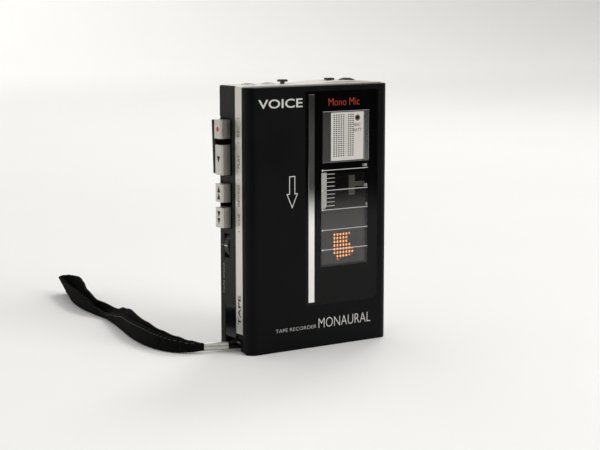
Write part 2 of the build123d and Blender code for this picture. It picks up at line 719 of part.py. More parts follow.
def speaker():
    frame = rod_deep(SPEAKER_X, (22.4, SPEAKER_D[1]), SPEAKER_Z, SPEAKER_R)
    basket = rod_deep(SPEAKER_X, (20.6, 22.4), SPEAKER_Z, SPEAKER_R - 2.5)
    magnet = rod_deep(SPEAKER_X, (SPEAKER_D[0], 20.6), SPEAKER_Z, 7.0)
    cone_cut = rod_deep(SPEAKER_X, (22.0, 24.0), SPEAKER_Z, SPEAKER_R - 3.2)
    ball = Pos(spot(SPEAKER_X, 19.6, SPEAKER_Z)) * Sphere(3.4)
    dome = ball & rod_deep(SPEAKER_X, (21.9, 24), SPEAKER_Z, 5)
    return (joined([frame, basket, magnet]) - cone_cut) + dome


def battery_door():
    door = block(DOOR_X, (DEPTH - DOOR_THICK, DEPTH), (0.0, DOOR_TOP))
    door = fillet(edges_at(door, Axis.X, d=DEPTH, z=0.0), 0.7)
    grip = []
    for row in range(6):
        z = 15.0 + row * 1.2
        grip.append(block((42.0, 54.6), (DEPTH - 0.3, DEPTH + 1), (z - 0.3, z + 0.3)))
    return door - grip


def battery_contacts():
    """A plate at the left end of each cell and a stubby spring, drawn as a cone, at the right end."""
    pieces = []
    for z in CELL_Z:
        pieces.append(block((BAY_X[0] + 0.05, BAY_X[0] + 0.35), (14.0, 22.0), (z - 4.0, z + 4.0)))
        base = Plane(origin=spot(BAY_X[1] - 0.05, 18.2, z), z_dir=(-1, 0, 0))
        pieces.append(extrude(base * Circle(3.0), 1.2, taper=20))
    return group(pieces)


def case_screws():
    screws = []
    for x, z in SCREWS:
        head = rod_deep(x, (DEPTH - 0.85, DEPTH - 0.15), z, SCREW_HEAD_R)
        shank = rod_deep(x, (17.0, DEPTH - 0.85), z, SCREW_R)
        slot = [block((x - 1.1, x + 1.1), (DEPTH - 0.5, DEPTH), (z - 0.2, z + 0.2))]
        slot.append(block((x - 0.2, x + 0.2), (DEPTH - 0.5, DEPTH), (z - 1.1, z + 1.1)))
        screws.append((head + shank) - slot)
    return group(screws)


# ---- strap ----
def corner_radii(points):
    """For each inner point of a route: 0.45 of the shorter run, over the tangent of half the turn."""
    radii = []
    for before, here, after in zip(points, points[1:], points[2:]):
        arriving = here - before
        leaving = after - here
        turn = math.radians(arriving.get_angle(leaving))
        radii.append(0.45 * min(arriving.length, leaving.length) / math.tan(turn / 2))
    return radii


def swept(name, points, section, thickness):
    """A section swept along a route of straight runs and tangent arcs; prints its smallest radius."""
    radii = corner_radii(points)
    path = FilletPolyline(*points, radius=radii)
    solid = sweep(Plane(origin=path @ 0, x_dir=(0, 0, 1), z_dir=path % 0) * section, path)
    area = section.area
    print(name, "length", round(path.length, 1), "smallest radius", round(min(radii), 1))
    print(name, "volume", round(solid.volume), "section times length", round(area * path.length))
    print(name, "smallest radius over thickness", round(min(radii) / thickness, 1))
    return solid


def strap_cord():
    points = [spot(*point) for point in CORD_ROUTE]
    return swept("strap_cord", points, Circle(CORD_R), 2 * CORD_R)


def strap_ferrule():
    start = spot(*FERRULE[0], FERRULE_Z)
    end = spot(*FERRULE[1], FERRULE_Z)
    tube = extrude(Plane(origin=start, z_dir=end - start) * Circle(FERRULE_R), (end - start).length)
    return fillet(tube.edges().filter_by(GeomType.CIRCLE), 0.25)


def strap_webbing():
    points = [spot(x, d, WEBBING_Z) for x, d in WEBBING_ROUTE]
    doubled = 2 * WEBBING_THICK + 0.1
    return swept("strap_webbing", points, Rectangle(WEBBING_WIDTH, doubled), doubled)


def strap_loop():
    points = [spot(x, d, WEBBING_Z) for x, d in LOOP_ROUTE]
    return swept("strap_loop", points, Rectangle(WEBBING_WIDTH, WEBBING_THICK), WEBBING_THICK)


# ---- write every part ----
for name, low, high, proud in KEYS:
    write(name + "_key", key_slide(low, high, proud))
    write(name + "_cap", key_cap(low, high, proud))
for name, x, travel in KNOBS:
    write(name, slide_knob(x))

write("lid_shell", lid_shell())
write("front_panel", front_panel())
write("accent_strip", accent_strip())
write("tape_window", tape_window())
write("mic_bezel", mic_bezel())
write("mic_grille", mic_grille())
write("mic_capsule", mic_capsule())
write("record_lamp", record_lamp())
write("indicator_mask", indicator_mask())
write("indicator_disc", indicator_disc())
write("cassette_spring", cassette_spring())
write("hinge_pins", hinge_pins())
write("hinge_carrier", hinge_carrier())
write("middle_case", middle_case())
write("silver_band", silver_band())
write("rear_cover", rear_cover())
write("strap_bracket", strap_bracket())
write("strap_pin", strap_pin())
write("deck_cover", deck_cover())
write("chassis_plate", chassis_plate())
write("supply_spindle", spindle(SUPPLY_Z))
write("takeup_spindle", spindle(TAKEUP_Z))
write("capstan", capstan())
write("flywheel", flywheel())
write("motor", motor())
write("motor_pulley", motor_pulley())
write("drive_belt", drive_belt())
write("idler_wheel", idler_wheel())
write("head_plate", head_plate())
write("record_play_head", record_play_head())
write("erase_head", erase_head())
write("pinch_arm", pinch_arm())
write("pinch_roller", pinch_roller())
write("stop_key", stop_key())
write("key_guide", key_guide())
write("mic_jack", jack(MIC_JACK_X))
write("ear_jack", jack(EAR_JACK_X))
write("switch_bodies", switch_bodies())
write("volume_wheel", thumbwheel(VOLUME_X, VOLUME_D, VOLUME_Z, VOLUME_R, 44))
write("volume_control", volume_control())
write("speed_wheel", thumbwheel(SPEED_X, SPEED_D, SPEED_Z, SPEED_R, 44))
write("circuit_board", circuit_board())
write("speaker", speaker())
write("battery_door", battery_door())
write("battery_contacts", battery_contacts())
write("case_screws", case_screws())
write("strap_cord", strap_cord())
write("strap_ferrule", strap_ferrule())
write("strap_webbing", strap_webbing())
write("strap_loop", strap_loop())
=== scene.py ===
# %% [markdown]
# # A pocket cassette recorder
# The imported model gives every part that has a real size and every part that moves.
# This script dresses those parts in materials and adds what is printed, perforated or woven on them.
# Each piece is made where the frame says the part is, so nothing has to be fitted afterwards.

# %% Load the frame
import math

import bmesh
import bpy
from mathutils import Matrix, Vector


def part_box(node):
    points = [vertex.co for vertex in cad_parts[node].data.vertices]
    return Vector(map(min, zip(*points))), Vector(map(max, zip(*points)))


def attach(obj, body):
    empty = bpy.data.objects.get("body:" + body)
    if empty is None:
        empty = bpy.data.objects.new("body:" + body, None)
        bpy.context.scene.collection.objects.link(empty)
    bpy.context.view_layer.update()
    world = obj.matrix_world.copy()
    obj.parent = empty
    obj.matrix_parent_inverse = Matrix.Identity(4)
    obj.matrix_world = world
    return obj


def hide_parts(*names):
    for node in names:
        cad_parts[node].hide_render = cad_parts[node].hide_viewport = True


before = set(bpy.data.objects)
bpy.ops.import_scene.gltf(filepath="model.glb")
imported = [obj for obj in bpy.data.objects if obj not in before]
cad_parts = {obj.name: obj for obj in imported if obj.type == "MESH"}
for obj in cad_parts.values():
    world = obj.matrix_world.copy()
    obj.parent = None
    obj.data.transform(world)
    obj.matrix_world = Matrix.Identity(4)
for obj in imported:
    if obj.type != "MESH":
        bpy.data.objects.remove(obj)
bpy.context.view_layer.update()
MM = 0.001

# %% [markdown]
# ## Places on the case
# A maker of such a case measures from its corner: so far from the left wall, so far behind the front face,
# so high above the base. `spot` turns those three numbers into a place in the frame.

# %% Measure the case
lid_low, lid_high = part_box("lid_shell")
cover_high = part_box("rear_cover")[1]
LEFT = lid_low.x
FRONT = lid_low.y
BACK = cover_high.y
WIDTH = (lid_high.x - lid_low.x) / MM
DEPTH = (BACK - FRONT) / MM
HEIGHT = cover_high.z / MM
print("case", round(WIDTH, 1), "x", round(DEPTH, 1), "x", round(HEIGHT, 1), "mm")


def spot(x, d, z):
    """A place in millimetres from the left wall, the front face and the base."""
    return Vector((LEFT + x * MM, FRONT + d * MM, z * MM))


# %% [markdown]
# ## The camera
# A small product looks natural from a distance through a long lens, which keeps its edges nearly parallel.
# The camera stands to the left of the front and a little higher than the top.

# %% Camera
camera_data = bpy.data.cameras.new("camera")
camera_data.lens = 95.24
camera_data.sensor_width = 36.0
camera = bpy.data.objects.new("camera", camera_data)
bpy.context.collection.objects.link(camera)
camera.location = spot(-356.74, -566.27, 154.24)
camera.rotation_euler = (math.radians(81.77), 0.0, math.radians(-34.06))
bpy.context.scene.camera = camera
print("camera", round((camera.location - spot(37, 12.6, 58)).length, 3), "m from the case")

# %% [markdown]
# ## Tools used throughout
# Blender's operators act on whatever is selected, and in edit mode on whatever part of the mesh is selected.
# So each step starts from nothing selected, and faces are then chosen by where they are or which way
# they face.


# %% Helpers for making meshes
def alone(piece):
    """Leaves only this piece selected and active."""
    bpy.ops.object.select_all(action="DESELECT")
    piece.select_set(True)
    bpy.context.view_layer.objects.active = piece
    return piece


def edit(piece, kind="FACE"):
    """Opens the piece in edit mode with nothing selected, and returns its mesh for choosing."""
    alone(piece)
    bpy.ops.object.mode_set(mode="EDIT")
    bpy.ops.mesh.select_mode(type=kind)
    bpy.ops.mesh.select_all(action="DESELECT")
    return bmesh.from_edit_mesh(piece.data)


def choose(mesh, items, wanted):
    """Selects the faces, edges or vertices for which `wanted` is true."""
    for item in items:
        item.select_set(wanted(item))
    mesh.select_flush_mode()


def close_edit(piece, outwards=True):
    """Welds doubles, turns the faces outwards and leaves edit mode."""
    bpy.ops.mesh.select_all(action="SELECT")
    bpy.ops.mesh.remove_doubles(threshold=0.000001)
    if outwards:
        bpy.ops.mesh.normals_make_consistent(inside=False)
    bpy.ops.object.mode_set(mode="OBJECT")
    return piece


def settle(piece):
    """Moves the piece's place into its mesh, so that its object stands at the origin."""
    alone(piece)
    bpy.ops.object.transform_apply(location=True, rotation=True, scale=True)
    return piece


def block(name, low, high):
    """A box between two corners, as a start for a piece."""
    bpy.ops.object.select_all(action="DESELECT")
    bpy.ops.mesh.primitive_cube_add(size=1, location=(low + high) / 2)
    piece = bpy.context.object
    piece.name = name
    piece.scale = high - low
    return settle(piece)


def smooth(piece, angle=30):
    alone(piece)
    bpy.ops.object.shade_smooth_by_angle(angle=math.radians(angle))
    return piece


def apply_all(piece):
    """Applies every modifier of a piece, in order."""
    alone(piece)
    for modifier in list(piece.modifiers):
        bpy.ops.object.modifier_apply(modifier=modifier.name)
    return piece


def join(name, pieces):
    """Makes one piece out of several."""
    alone(pieces[0])
    for piece in pieces[1:]:
        piece.select_set(True)
    bpy.ops.object.join()
    pieces[0].name = name
    return pieces[0]


# %% [markdown]
# ## Faces that carry print
# The legends are pad-printed or screen-printed: a film of ink about 0.03 mm thick.
# Each is drawn in two numbers on its own face of the case, then pulled out by the ink's thickness.
# A face is given by its left-to-right and bottom-to-top directions and the way it looks.

# %% The printed faces
INK = 0.03


def on_front(u, v, lift=0.0):
    return spot(u, -lift, v)


def on_left(x):
    """The face that looks left at this distance from the left wall; u runs towards the front."""
    return lambda u, v, lift=0.0: spot(x - lift, u, v)


def on_top(z):
    return lambda u, v, lift=0.0: spot(u, v, z + lift)


def on_back(d):
    return lambda u, v, lift=0.0: spot(u, d + lift, v)


def raise_ink(piece, face):
    """Pulls the selected flat shape out of its face by the thickness of the ink."""
    away = face(0, 0, INK) - face(0, 0, 0)
    bpy.ops.mesh.extrude_region_move(TRANSFORM_OT_translate={"value": away})
    return close_edit(piece)


def ink_shape(name, corners, face, outline=0.0, lift=0.0):
    """A printed shape with these corners; with an outline width it is only a line round them."""
    bpy.ops.object.select_all(action="DESELECT")
    bpy.ops.mesh.primitive_circle_add(vertices=len(corners), fill_type="NGON")
    piece = bpy.context.object
    piece.name = name
    for vertex, (u, v) in zip(piece.data.vertices, corners):
        vertex.co = face(u, v, lift)
    piece.location = (0, 0, 0)
    edit(piece)
    bpy.ops.mesh.select_all(action="SELECT")
    if outline:
        bpy.ops.mesh.inset(thickness=outline * MM, depth=0)
        bpy.ops.mesh.delete(type="FACE")
        bpy.ops.mesh.select_all(action="SELECT")
    return raise_ink(piece, face)


def ink_bar(name, u, v, face, lift=0.0):
    """A printed bar between two limits each way."""
    corners = [(u[0], v[0]), (u[1], v[0]), (u[1], v[1]), (u[0], v[1])]
    return ink_shape(name, corners, face, lift=lift)


def round_corners(u, v, radius, count):
    """The corners of a circle."""
    turns = [2 * math.pi * side / count for side in range(count)]
    return [(u + radius * math.cos(turn), v + radius * math.sin(turn)) for turn in turns]


def ink_dot(name, u, v, radius, face, lift=0.0):
    """A printed dot."""
    return ink_shape(name, round_corners(u, v, radius, 20), face, lift=lift)


def ink_text(name, words, middle, height, face, width=None, bold=0.0, turn=0.0, lift=0.0, mirror=1):
    """Printed words, their capitals this high, centred on `middle`, stretched to a width if one is given."""
    bpy.ops.object.select_all(action="DESELECT")
    bpy.ops.object.text_add()
    words_object = bpy.context.object
    words_object.name = name
    words_object.data.body = words
    words_object.data.resolution_u = 3
    words_object.data.offset = bold
    words_object.data.align_x = "CENTER"
    words_object.data.align_y = "CENTER"
    bpy.ops.object.convert(target="MESH")
    piece = bpy.context.object
    low = Vector([min(v.co[i] for v in piece.data.vertices) for i in range(3)])
    high = Vector([max(v.co[i] for v in piece.data.vertices) for i in range(3)])
    size = high - low
    tall = height / size.y
    wide = width / size.x if width else tall
    cosine, sine = math.cos(turn), math.sin(turn)
    for vertex in piece.data.vertices:
        along = (vertex.co.x - (low.x + high.x) / 2) * wide * mirror
        up = (vertex.co.y - (low.y + high.y) / 2) * tall
        u = middle[0] + along * cosine - up * sine
        v = middle[1] + along * sine + up * cosine
        vertex.co = face(u, v, lift)
    edit(piece)
    bpy.ops.mesh.select_all(action="SELECT")
    return raise_ink(piece, face)


# %% [markdown]
# ## How materials are built
# Every material is a small node tree round one Principled shader.
# `tint` turns a colour as a screen shows it into the linear numbers that the shader wants.
# `add` puts in a node, sets it and links it, so that each finish below reads like a short recipe.


# %% Helpers for materials
def tint(code):
    """An sRGB hex colour as linear RGBA."""
    channels = [int(code[i : i + 2], 16) / 255 for i in (1, 3, 5)]
    linear = [c / 12.92 if c <= 0.04045 else ((c + 0.055) / 1.055) ** 2.4 for c in channels]
    return (*linear, 1.0)


def add(finish, kind, settings=None, inputs=None):
    """Adds a node to a material: settings are its properties, inputs are values or sockets to link."""
    node = finish.node_tree.nodes.new(kind)
    for key, value in (settings or {}).items():
        setattr(node, key, value)
    for key, value in (inputs or {}).items():
        if isinstance(value, bpy.types.NodeSocket):
            finish.node_tree.links.new(value, node.inputs[key])
        else:
            node.inputs[key].default_value = value
    return node


def new_finish(name, **constants):
    """A material with one Principled shader; returns the material and its shader."""
    finish = bpy.data.materials.new(name)
    finish.use_nodes = True
    shader = finish.node_tree.nodes["Principled BSDF"]
    for key, value in constants.items():
        shader.inputs[key.replace("_", " ")].default_value = value
    return finish, shader


def join_to(finish, socket, shader, name):
    finish.node_tree.links.new(socket, shader.inputs[name])


def grain(finish, pitch_mm, detail=3.0, stretch=(1, 1, 1)):
    """Noise whose grains are this far apart, stretched along the axes where the number is small."""
    place = add(finish, "ShaderNodeTexCoord")
    turned = add(finish, "ShaderNodeMapping", inputs={"Vector": place.outputs["Object"], "Scale": stretch})
    return add(
        finish,
        "ShaderNodeTexNoise",
        inputs={"Vector": turned.outputs["Vector"], "Scale": 1000 / pitch_mm / 2, "Detail": detail},
    )


def spread(finish, source, low, high, start=0.3, end=0.7):
    """Remaps a pattern's middle range to run from low to high."""
    return add(
        finish,
        "ShaderNodeMapRange",
        inputs={"Value": source, "From Min": start, "From Max": end, "To Min": low, "To Max": high},
    ).outputs["Result"]


def relief(finish, shader, source, depth_mm, strength=1.0):
    """A bump of this real depth, linked to the shader's normal."""
    bump = add(
        finish, "ShaderNodeBump", inputs={"Height": source, "Distance": depth_mm * MM, "Strength": strength}
    )
    join_to(finish, bump.outputs["Normal"], shader, "Normal")
    return bump


def two_tone(finish, shader, factor, dark, light):
    """Base colour that drifts between two close shades."""
    ramp = add(finish, "ShaderNodeValToRGB", inputs={"Fac": factor})
    ramp.color_ramp.elements[0].color = tint(dark)
    ramp.color_ramp.elements[1].color = tint(light)
    join_to(finish, ramp.outputs["Color"], shader, "Base Color")
    return ramp


# %% [markdown]
# ## One pattern, three uses
# Most surfaces here vary in one way: where a fine pattern is high, the colour is a shade lighter, the gloss
# a little duller and the surface a little higher. So one function makes them all, and each finish is a short
# list of real sizes: the grain in mm, two close colours, a range of roughness, and the depth of the relief.


# %% A finish from one pattern
def patterned(name, pattern, colours, rough, raised=None, **constants):
    """Colour, roughness and height follow one noise; `raised` is the relief's depth in mm and strength."""
    finish, shader = new_finish(name, **constants)
    noise = grain(finish, *pattern).outputs["Fac"]
    two_tone(finish, shader, noise, *colours)
    join_to(finish, spread(finish, noise, *rough), shader, "Roughness")
    if raised:
        relief(finish, shader, noise, *raised)
    return finish


# %% [markdown]
# ## Moulded plastics
# The lid is ABS from a satin-polished mould, the rear cover is ABS from a spark-eroded mould, and the
# front panel is acrylic sprayed black behind, so its face is as glossy as glass.
# They differ mostly in roughness and in how coarse their grain is.


# %% Plastics
def satin_abs():
    """Satin black ABS. Fine mould texture breaks the highlight; handling leaves duller patches."""
    finish, shader = new_finish("satin_abs", Specular_IOR_Level=0.08, IOR=1.54)
    patches = grain(finish, 9.0, 4.0)
    fine = grain(finish, 0.30, 2.0)
    two_tone(finish, shader, patches.outputs["Fac"], "#030405", "#070809")
    join_to(finish, spread(finish, patches.outputs["Fac"], 0.36, 0.46), shader, "Roughness")
    relief(finish, shader, fine.outputs["Fac"], 0.012, 0.35)
    return finish


def textured_abs():
    """Spark-eroded ABS: pits about 0.25 mm apart, drawn at 0.45 mm so that they show; warm charcoal."""
    finish, shader = new_finish("textured_abs", Specular_IOR_Level=0.2, IOR=1.54)
    pits = grain(finish, 0.45, 3.0)
    patches = grain(finish, 14.0, 3.0)
    two_tone(finish, shader, patches.outputs["Fac"], "#161614", "#1e1e1b")
    join_to(finish, spread(finish, pits.outputs["Fac"], 0.5, 0.68), shader, "Roughness")
    relief(finish, shader, pits.outputs["Fac"], 0.05, 0.55)
    return finish


def epoxy_board():
    """Glass-epoxy board with green solder resist, its copper tracks just showing."""
    finish, shader = new_finish("epoxy_board", Specular_IOR_Level=0.5, IOR=1.55)
    place = add(finish, "ShaderNodeTexCoord")
    tracks = add(
        finish,
        "ShaderNodeTexBrick",
        inputs={"Vector": place.outputs["Object"], "Scale": 160.0, "Color1": tint("#1d5a2e"),
                "Color2": tint("#1a4f29"), "Mortar": tint("#3f7d3b"), "Mortar Size": 0.03},
    )
    join_to(finish, tracks.outputs["Color"], shader, "Base Color")
    soft = grain(finish, 2.0)
    join_to(finish, spread(finish, soft.outputs["Fac"], 0.25, 0.4), shader, "Roughness")
    return finish


satin = satin_abs()
textured = textured_abs()
board = epoxy_board()
# Polished black acrylic: near mirror, with faint hairlines from wiping.
acrylic = patterned(
    "gloss_acrylic", (1.2, 5.0, (1.0, 1.0, 0.05)), ("#040404", "#070707"), (0.04, 0.10), (0.002, 0.15),
    Specular_IOR_Level=0.14, IOR=1.49,
)
# Polished black ABS on the strap's corner block: glossy, with soft flow marks.
glossy = patterned(
    "gloss_abs", (4.0, 3.0, (1, 1, 0.3)), ("#08090b", "#0d0e11"), (0.10, 0.18), (0.01, 0.2),
    Specular_IOR_Level=0.2, IOR=1.54,
)
# Acetal for keys, wheels and spindles: slightly waxy black.
acetal = patterned(
    "black_acetal", (1.5, 3.0), ("#0e0e0f", "#171718"), (0.32, 0.45), (0.01, 0.3),
    Specular_IOR_Level=0.4, IOR=1.48,
)
# The punched mask inside the window: matt grey, so that only its holes show colour.
mask_finish = patterned(
    "mask_plastic", (0.8, 2.0), ("#474641", "#53524c"), (0.6, 0.75), Specular_IOR_Level=0.2, IOR=1.5,
)
# Smoked window: clear acrylic with grey dye, so some of the light is lost on the way through.
smoked = patterned(
    "smoked_acrylic", (1.0, 4.0, (1, 1, 0.1)), ("#c6c4c0", "#d0cecb"), (0.02, 0.06),
    Transmission_Weight=1.0, IOR=1.49, Specular_IOR_Level=0.2,
)
# Deep red polycarbonate over an unlit lamp.
lens = patterned(
    "red_lens", (0.6, 2.0), ("#2a0507", "#4a0a0c"), (0.08, 0.16),
    Specular_IOR_Level=0.5, IOR=1.58, Coat_Weight=0.6,
)
# Fluorescent orange print on the running disc, with a painted glow: its emission shines whatever light falls
# on it.
orange = patterned(
    "fluorescent_orange_painted_glow", (0.5, 3.0), ("#ff7c34", "#ffb070"), (0.45, 0.6),
    Specular_IOR_Level=0.3, Emission_Strength=2.8, Emission_Color=tint("#ffa868"),
)
# Moulded nitrile rubber: matt, a little dusty.
rubber = patterned(
    "matt_rubber", (0.7, 5.0), ("#101010", "#222120"), (0.7, 0.9), (0.03, 0.4),
    Specular_IOR_Level=0.3, IOR=1.52,
)

# %% [markdown]
# ## Metals
# Aluminium is anodised after it is brushed or blasted, so it is bright but never mirror-like.
# The strip and the microphone's frame are chrome-plated, and show whatever stands round them.
# Brushing is noise drawn long in one direction; blasting is noise with no direction at all.


# %% Metals
def anodised_aluminium():
    """The bright band: satin aluminium with the finest lines along its length."""
    finish, shader = new_finish("anodised_aluminium", Metallic=1.0)
    lines = grain(finish, 0.35, 4.0, (1, 1, 0.04))
    patches = grain(finish, 11.0, 3.0)
    two_tone(finish, shader, patches.outputs["Fac"], "#d5d2ca", "#e0ddd6")
    join_to(finish, spread(finish, lines.outputs["Fac"], 0.34, 0.46), shader, "Roughness")
    relief(finish, shader, lines.outputs["Fac"], 0.004, 0.3)
    return finish


band_metal = anodised_aluminium()
# The key caps: brushed along the key's height, then clear anodised.
cap_metal = patterned(
    "brushed_aluminium", (0.22, 5.0, (1, 1, 0.06)), ("#bab7b0", "#e2dfd8"), (0.26, 0.44), (0.006, 0.5),
    Metallic=1.0, Anisotropic=0.5,
)
# The microphone's plate: bead-blasted, so it is an even light grey from every side.
plate_metal = patterned(
    "blasted_aluminium", (0.25, 2.0), ("#cfccc6", "#e2dfd9"), (0.5, 0.62), (0.012, 0.4), Metallic=0.85,
)
# Decorative chrome: a mirror with the faintest ripple of the polished part under it.
chrome = patterned(
    "chrome_plate", (6.0, 2.0), ("#dddddb", "#e8e8e6"), (0.03, 0.08), (0.02, 0.1), Metallic=1.0,
)
# The strap's crimped ferrule and the jacks: nickel over brass, barrel-polished.
nickel = patterned(
    "polished_nickel", (0.8, 3.0), ("#c9c6c0", "#dedbd5"), (0.32, 0.44), (0.01, 0.3), Metallic=1.0,
)
# Zinc-plated sheet steel for plates, springs and levers: grey with a spangled sheen.
steel = patterned(
    "zinc_steel", (1.6, 4.0), ("#8f8f8c", "#b4b3ae"), (0.26, 0.42), (0.01, 0.25), Metallic=1.0,
)
# Turned brass: fine rings from the tool, here as noise squeezed along the axis of turning.
brass = patterned(
    "turned_brass", (0.3, 4.0, (1, 0.2, 1)), ("#b08d45", "#cfae66"), (0.2, 0.34), (0.006, 0.4), Metallic=1.0,
)
# Black stoved paint on the speaker's frame.
stoved = patterned(
    "painted_steel", (1.0, 2.0), ("#121212", "#1c1c1b"), (0.35, 0.5), (0.02, 0.3),
    Specular_IOR_Level=0.5, IOR=1.5,
)

# %% [markdown]
# ## Inks
# Printing ink is a thin, slightly uneven coat, so each ink has a little mottle in its colour and gloss.


# %% Inks
def ink(name, dark, light):
    """A screen-printed ink that varies between two close shades."""
    return patterned(name, (0.5, 3.0), (dark, light), (0.4, 0.6), Specular_IOR_Level=0.3, IOR=1.5)


white_ink = ink("white_ink", "#c9c7c2", "#dedcd7")
grey_ink = ink("grey_ink", "#8b8984", "#9f9d98")
red_ink = ink("red_ink", "#b8352c", "#d0483c")
black_ink = ink("black_ink", "#121212", "#1e1e1e")
silver_ink = ink("silver_ink", "#9a9893", "#b3b1ac")
print(len(bpy.data.materials), "materials")

# %% [markdown]
# ## Dressing the CAD parts
# A part whose shape is already right keeps its mesh, and only its material slot is filled.

# %% Which part is made of what
MADE_OF = (
    (satin, "lid_shell middle_case deck_cover key_guide"),
    (textured, "rear_cover battery_door stop_key"),
    (acrylic, "front_panel"),
    (glossy, "strap_bracket"),
    (acetal, "record_key play_key rewind_key forward_key left_switch_knob right_switch_knob volume_wheel"),
    (acetal, "speed_wheel supply_spindle takeup_spindle"),
    (mask_finish, "indicator_mask"),
    (acetal, "indicator_disc"),
    (smoked, "tape_window"),
    (lens, "record_lamp"),
    (rubber, "pinch_roller idler_wheel drive_belt"),
    (board, "circuit_board"),
    (band_metal, "silver_band"),
    (cap_metal, "record_cap play_cap rewind_cap forward_cap"),
    (plate_metal, "mic_capsule mic_grille"),
    (chrome, "mic_bezel accent_strip"),
    (nickel, "mic_jack ear_jack strap_ferrule battery_contacts"),
    (steel, "cassette_spring hinge_pins hinge_carrier strap_pin chassis_plate capstan motor head_plate"),
    (steel, "record_play_head erase_head pinch_arm switch_bodies volume_control case_screws"),
    (brass, "flywheel motor_pulley"),
    (stoved, "speaker"),
)


def dress(node, finish):
    """Gives a CAD part its material without touching its mesh."""
    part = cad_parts[node]
    part.data.materials.clear()
    part.data.materials.append(finish)


for finish, names in MADE_OF:
    for node in names.split():
        dress(node, finish)
print("dressed", sum(len(names.split()) for finish, names in MADE_OF), "parts")


def finish_piece(piece, body, finish, angle=30):
    """The last step for each new piece: material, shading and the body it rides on."""
    piece.data.materials.clear()
    piece.data.materials.append(finish)
    smooth(piece, angle)
    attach(piece, body)
    return piece


# %% [markdown]
# ## The wrist strap
# The strap is flat polyester webbing, 10 mm wide and 1.2 mm thick, standing on its edge.
# From the metal ferrule it runs doubled and stitched for 95 mm, then opens into a loop of 150 mm.
# A thin cord of 30 mm holds the ferrule to a pin in the corner of the case.
# A flat band is best made as a grid with one short cell per rib, whose points are then set along the route:
# the route stays a smooth spline, and lean, width and height are values that change gently along it.

# %% The routes
CORD_ROUTE = (
    (-7.6, 16.7, 3.4), (-2.1, 14.4, 3.4), (1.2, 13.9, 4.5), (4.4, 13.8, 5.2), (6.1, 13.8, 4.3),
    (6.1, 13.8, 2.5), (4.4, 13.8, 1.6), (1.2, 13.9, 1.8), (-2.1, 14.4, 1.8), (-7.6, 16.7, 1.8),
)
WEBBING_ROUTE = (
    (-12.1, 18.6), (-20.2, 21.0), (-25.3, 30.2), (-26.5, 45.5), (-23.6, 63.5), (-17.6, 85.5), (-12.7, 106.5),
)
LOOP_ROUTE = (
    (-13.35, 106.65), (-14.2, 122.0), (-13.4, 139.0), (-10.0, 154.5), (-5.4, 168.5), (-2.4, 178.6),
    (1.0, 179.6), (1.4, 170.5), (-2.4, 157.0), (-6.6, 142.0), (-10.2, 125.0), (-12.05, 106.35),
)
CORD_WIDE = 1.5
WEBBING_WIDE = 10.0
WEBBING_THICK = 1.2
RIB = 1.4
CELLS_PER_RIB = 4


def spline(name, places):
    """An open NURBS curve whose control points are the route's points."""
    data = bpy.data.curves.new(name, "CURVE")
    data.dimensions = "3D"
    data.resolution_u = 16
    run = data.splines.new("NURBS")
    run.points.add(len(places) - 1)
    for point, place in zip(run.points, places):
        point.co = (*place, 1.0)
    run.order_u = 3
    run.use_endpoint_u = True
    return bpy.data.objects.new(name, data)


def follow(name, places):
    """The points along a route's spline, and how far along it each one is."""
    guide = spline(name, places)
    mesh = bpy.data.meshes.new_from_object(guide)
    points = [vertex.co.copy() for vertex in mesh.vertices]
    bpy.data.objects.remove(guide)
    gone = [0.0]
    for before, here in zip(points, points[1:]):
        gone.append(gone[-1] + (here - before).length)
    return points, gone


def along(line, distance):
    """The place and the level direction at a distance along a line."""
    points, gone = line
    distance = min(max(distance, 0.0), gone[-1])
    step = max(i for i in range(len(gone) - 1) if gone[i] <= distance)
    share = (distance - gone[step]) / (gone[step + 1] - gone[step])
    heading = points[step + 1] - points[step]
    if 0 < share < 0.5 and step > 0:
        heading = heading.normalized().lerp((points[step] - points[step - 1]).normalized(), 0.5 - share)
    if share >= 0.5 and step + 2 < len(points):
        heading = heading.normalized().lerp((points[step + 2] - points[step + 1]).normalized(), share - 0.5)
    return points[step].lerp(points[step + 1], share), heading.normalized()


def value_at(table, distance):
    """Values that ease from one row of a table to the next; a row starts with its distance in mm."""
    rows = [row for row in table if row[0] <= distance / MM]
    before = rows[-1] if rows else table[0]
    after = table[min(len(rows), len(table) - 1)]
    if after[0] == before[0]:
        return before[1:]
    share = (distance / MM - before[0]) / (after[0] - before[0])
    ease = share * share * (3 - 2 * share)
    return [low + (high - low) * ease for low, high in zip(before[1:], after[1:])]


def across_band(line, table, distance, height):
    """A point of a band: the table gives lean in degrees, width, foot height and side step in mm."""
    lean, wide, foot, aside = value_at(table, distance)
    place, heading = along(line, distance)
    outward = Vector((-heading.y, heading.x, 0))
    upward = Vector((0, 0, math.cos(math.radians(lean)))) + outward * math.sin(math.radians(lean))
    start = Vector((place.x, place.y, foot * MM)) + outward * aside * MM
    return start + upward * height * wide * MM, upward.cross(heading)


def band(name, line, table):
    """One layer of webbing: a ribbed grid laid along the line, then given its thickness."""
    length = line[1][-1]
    cells = round(length / MM / RIB * CELLS_PER_RIB)
    bpy.ops.object.select_all(action="DESELECT")
    bpy.ops.mesh.primitive_grid_add(x_subdivisions=cells, y_subdivisions=10, size=1, calc_uvs=True)
    piece = bpy.context.object
    piece.name = name
    for vertex in piece.data.vertices:
        distance = (vertex.co.x + 0.5) * length
        height = vertex.co.y + 0.5
        rib = math.sin(2 * math.pi * distance / MM / RIB)
        edge = 0.014 * rib * (2 * abs(height - 0.5)) ** 6
        place, side = across_band(line, table, distance, height + (edge if height > 0.5 else -edge))
        vertex.co = place + side * 0.07 * MM * rib
    solid = piece.modifiers.new("thickness", "SOLIDIFY")
    solid.thickness = (WEBBING_THICK - 0.15) * MM
    solid.offset = 0.0
    return apply_all(piece)


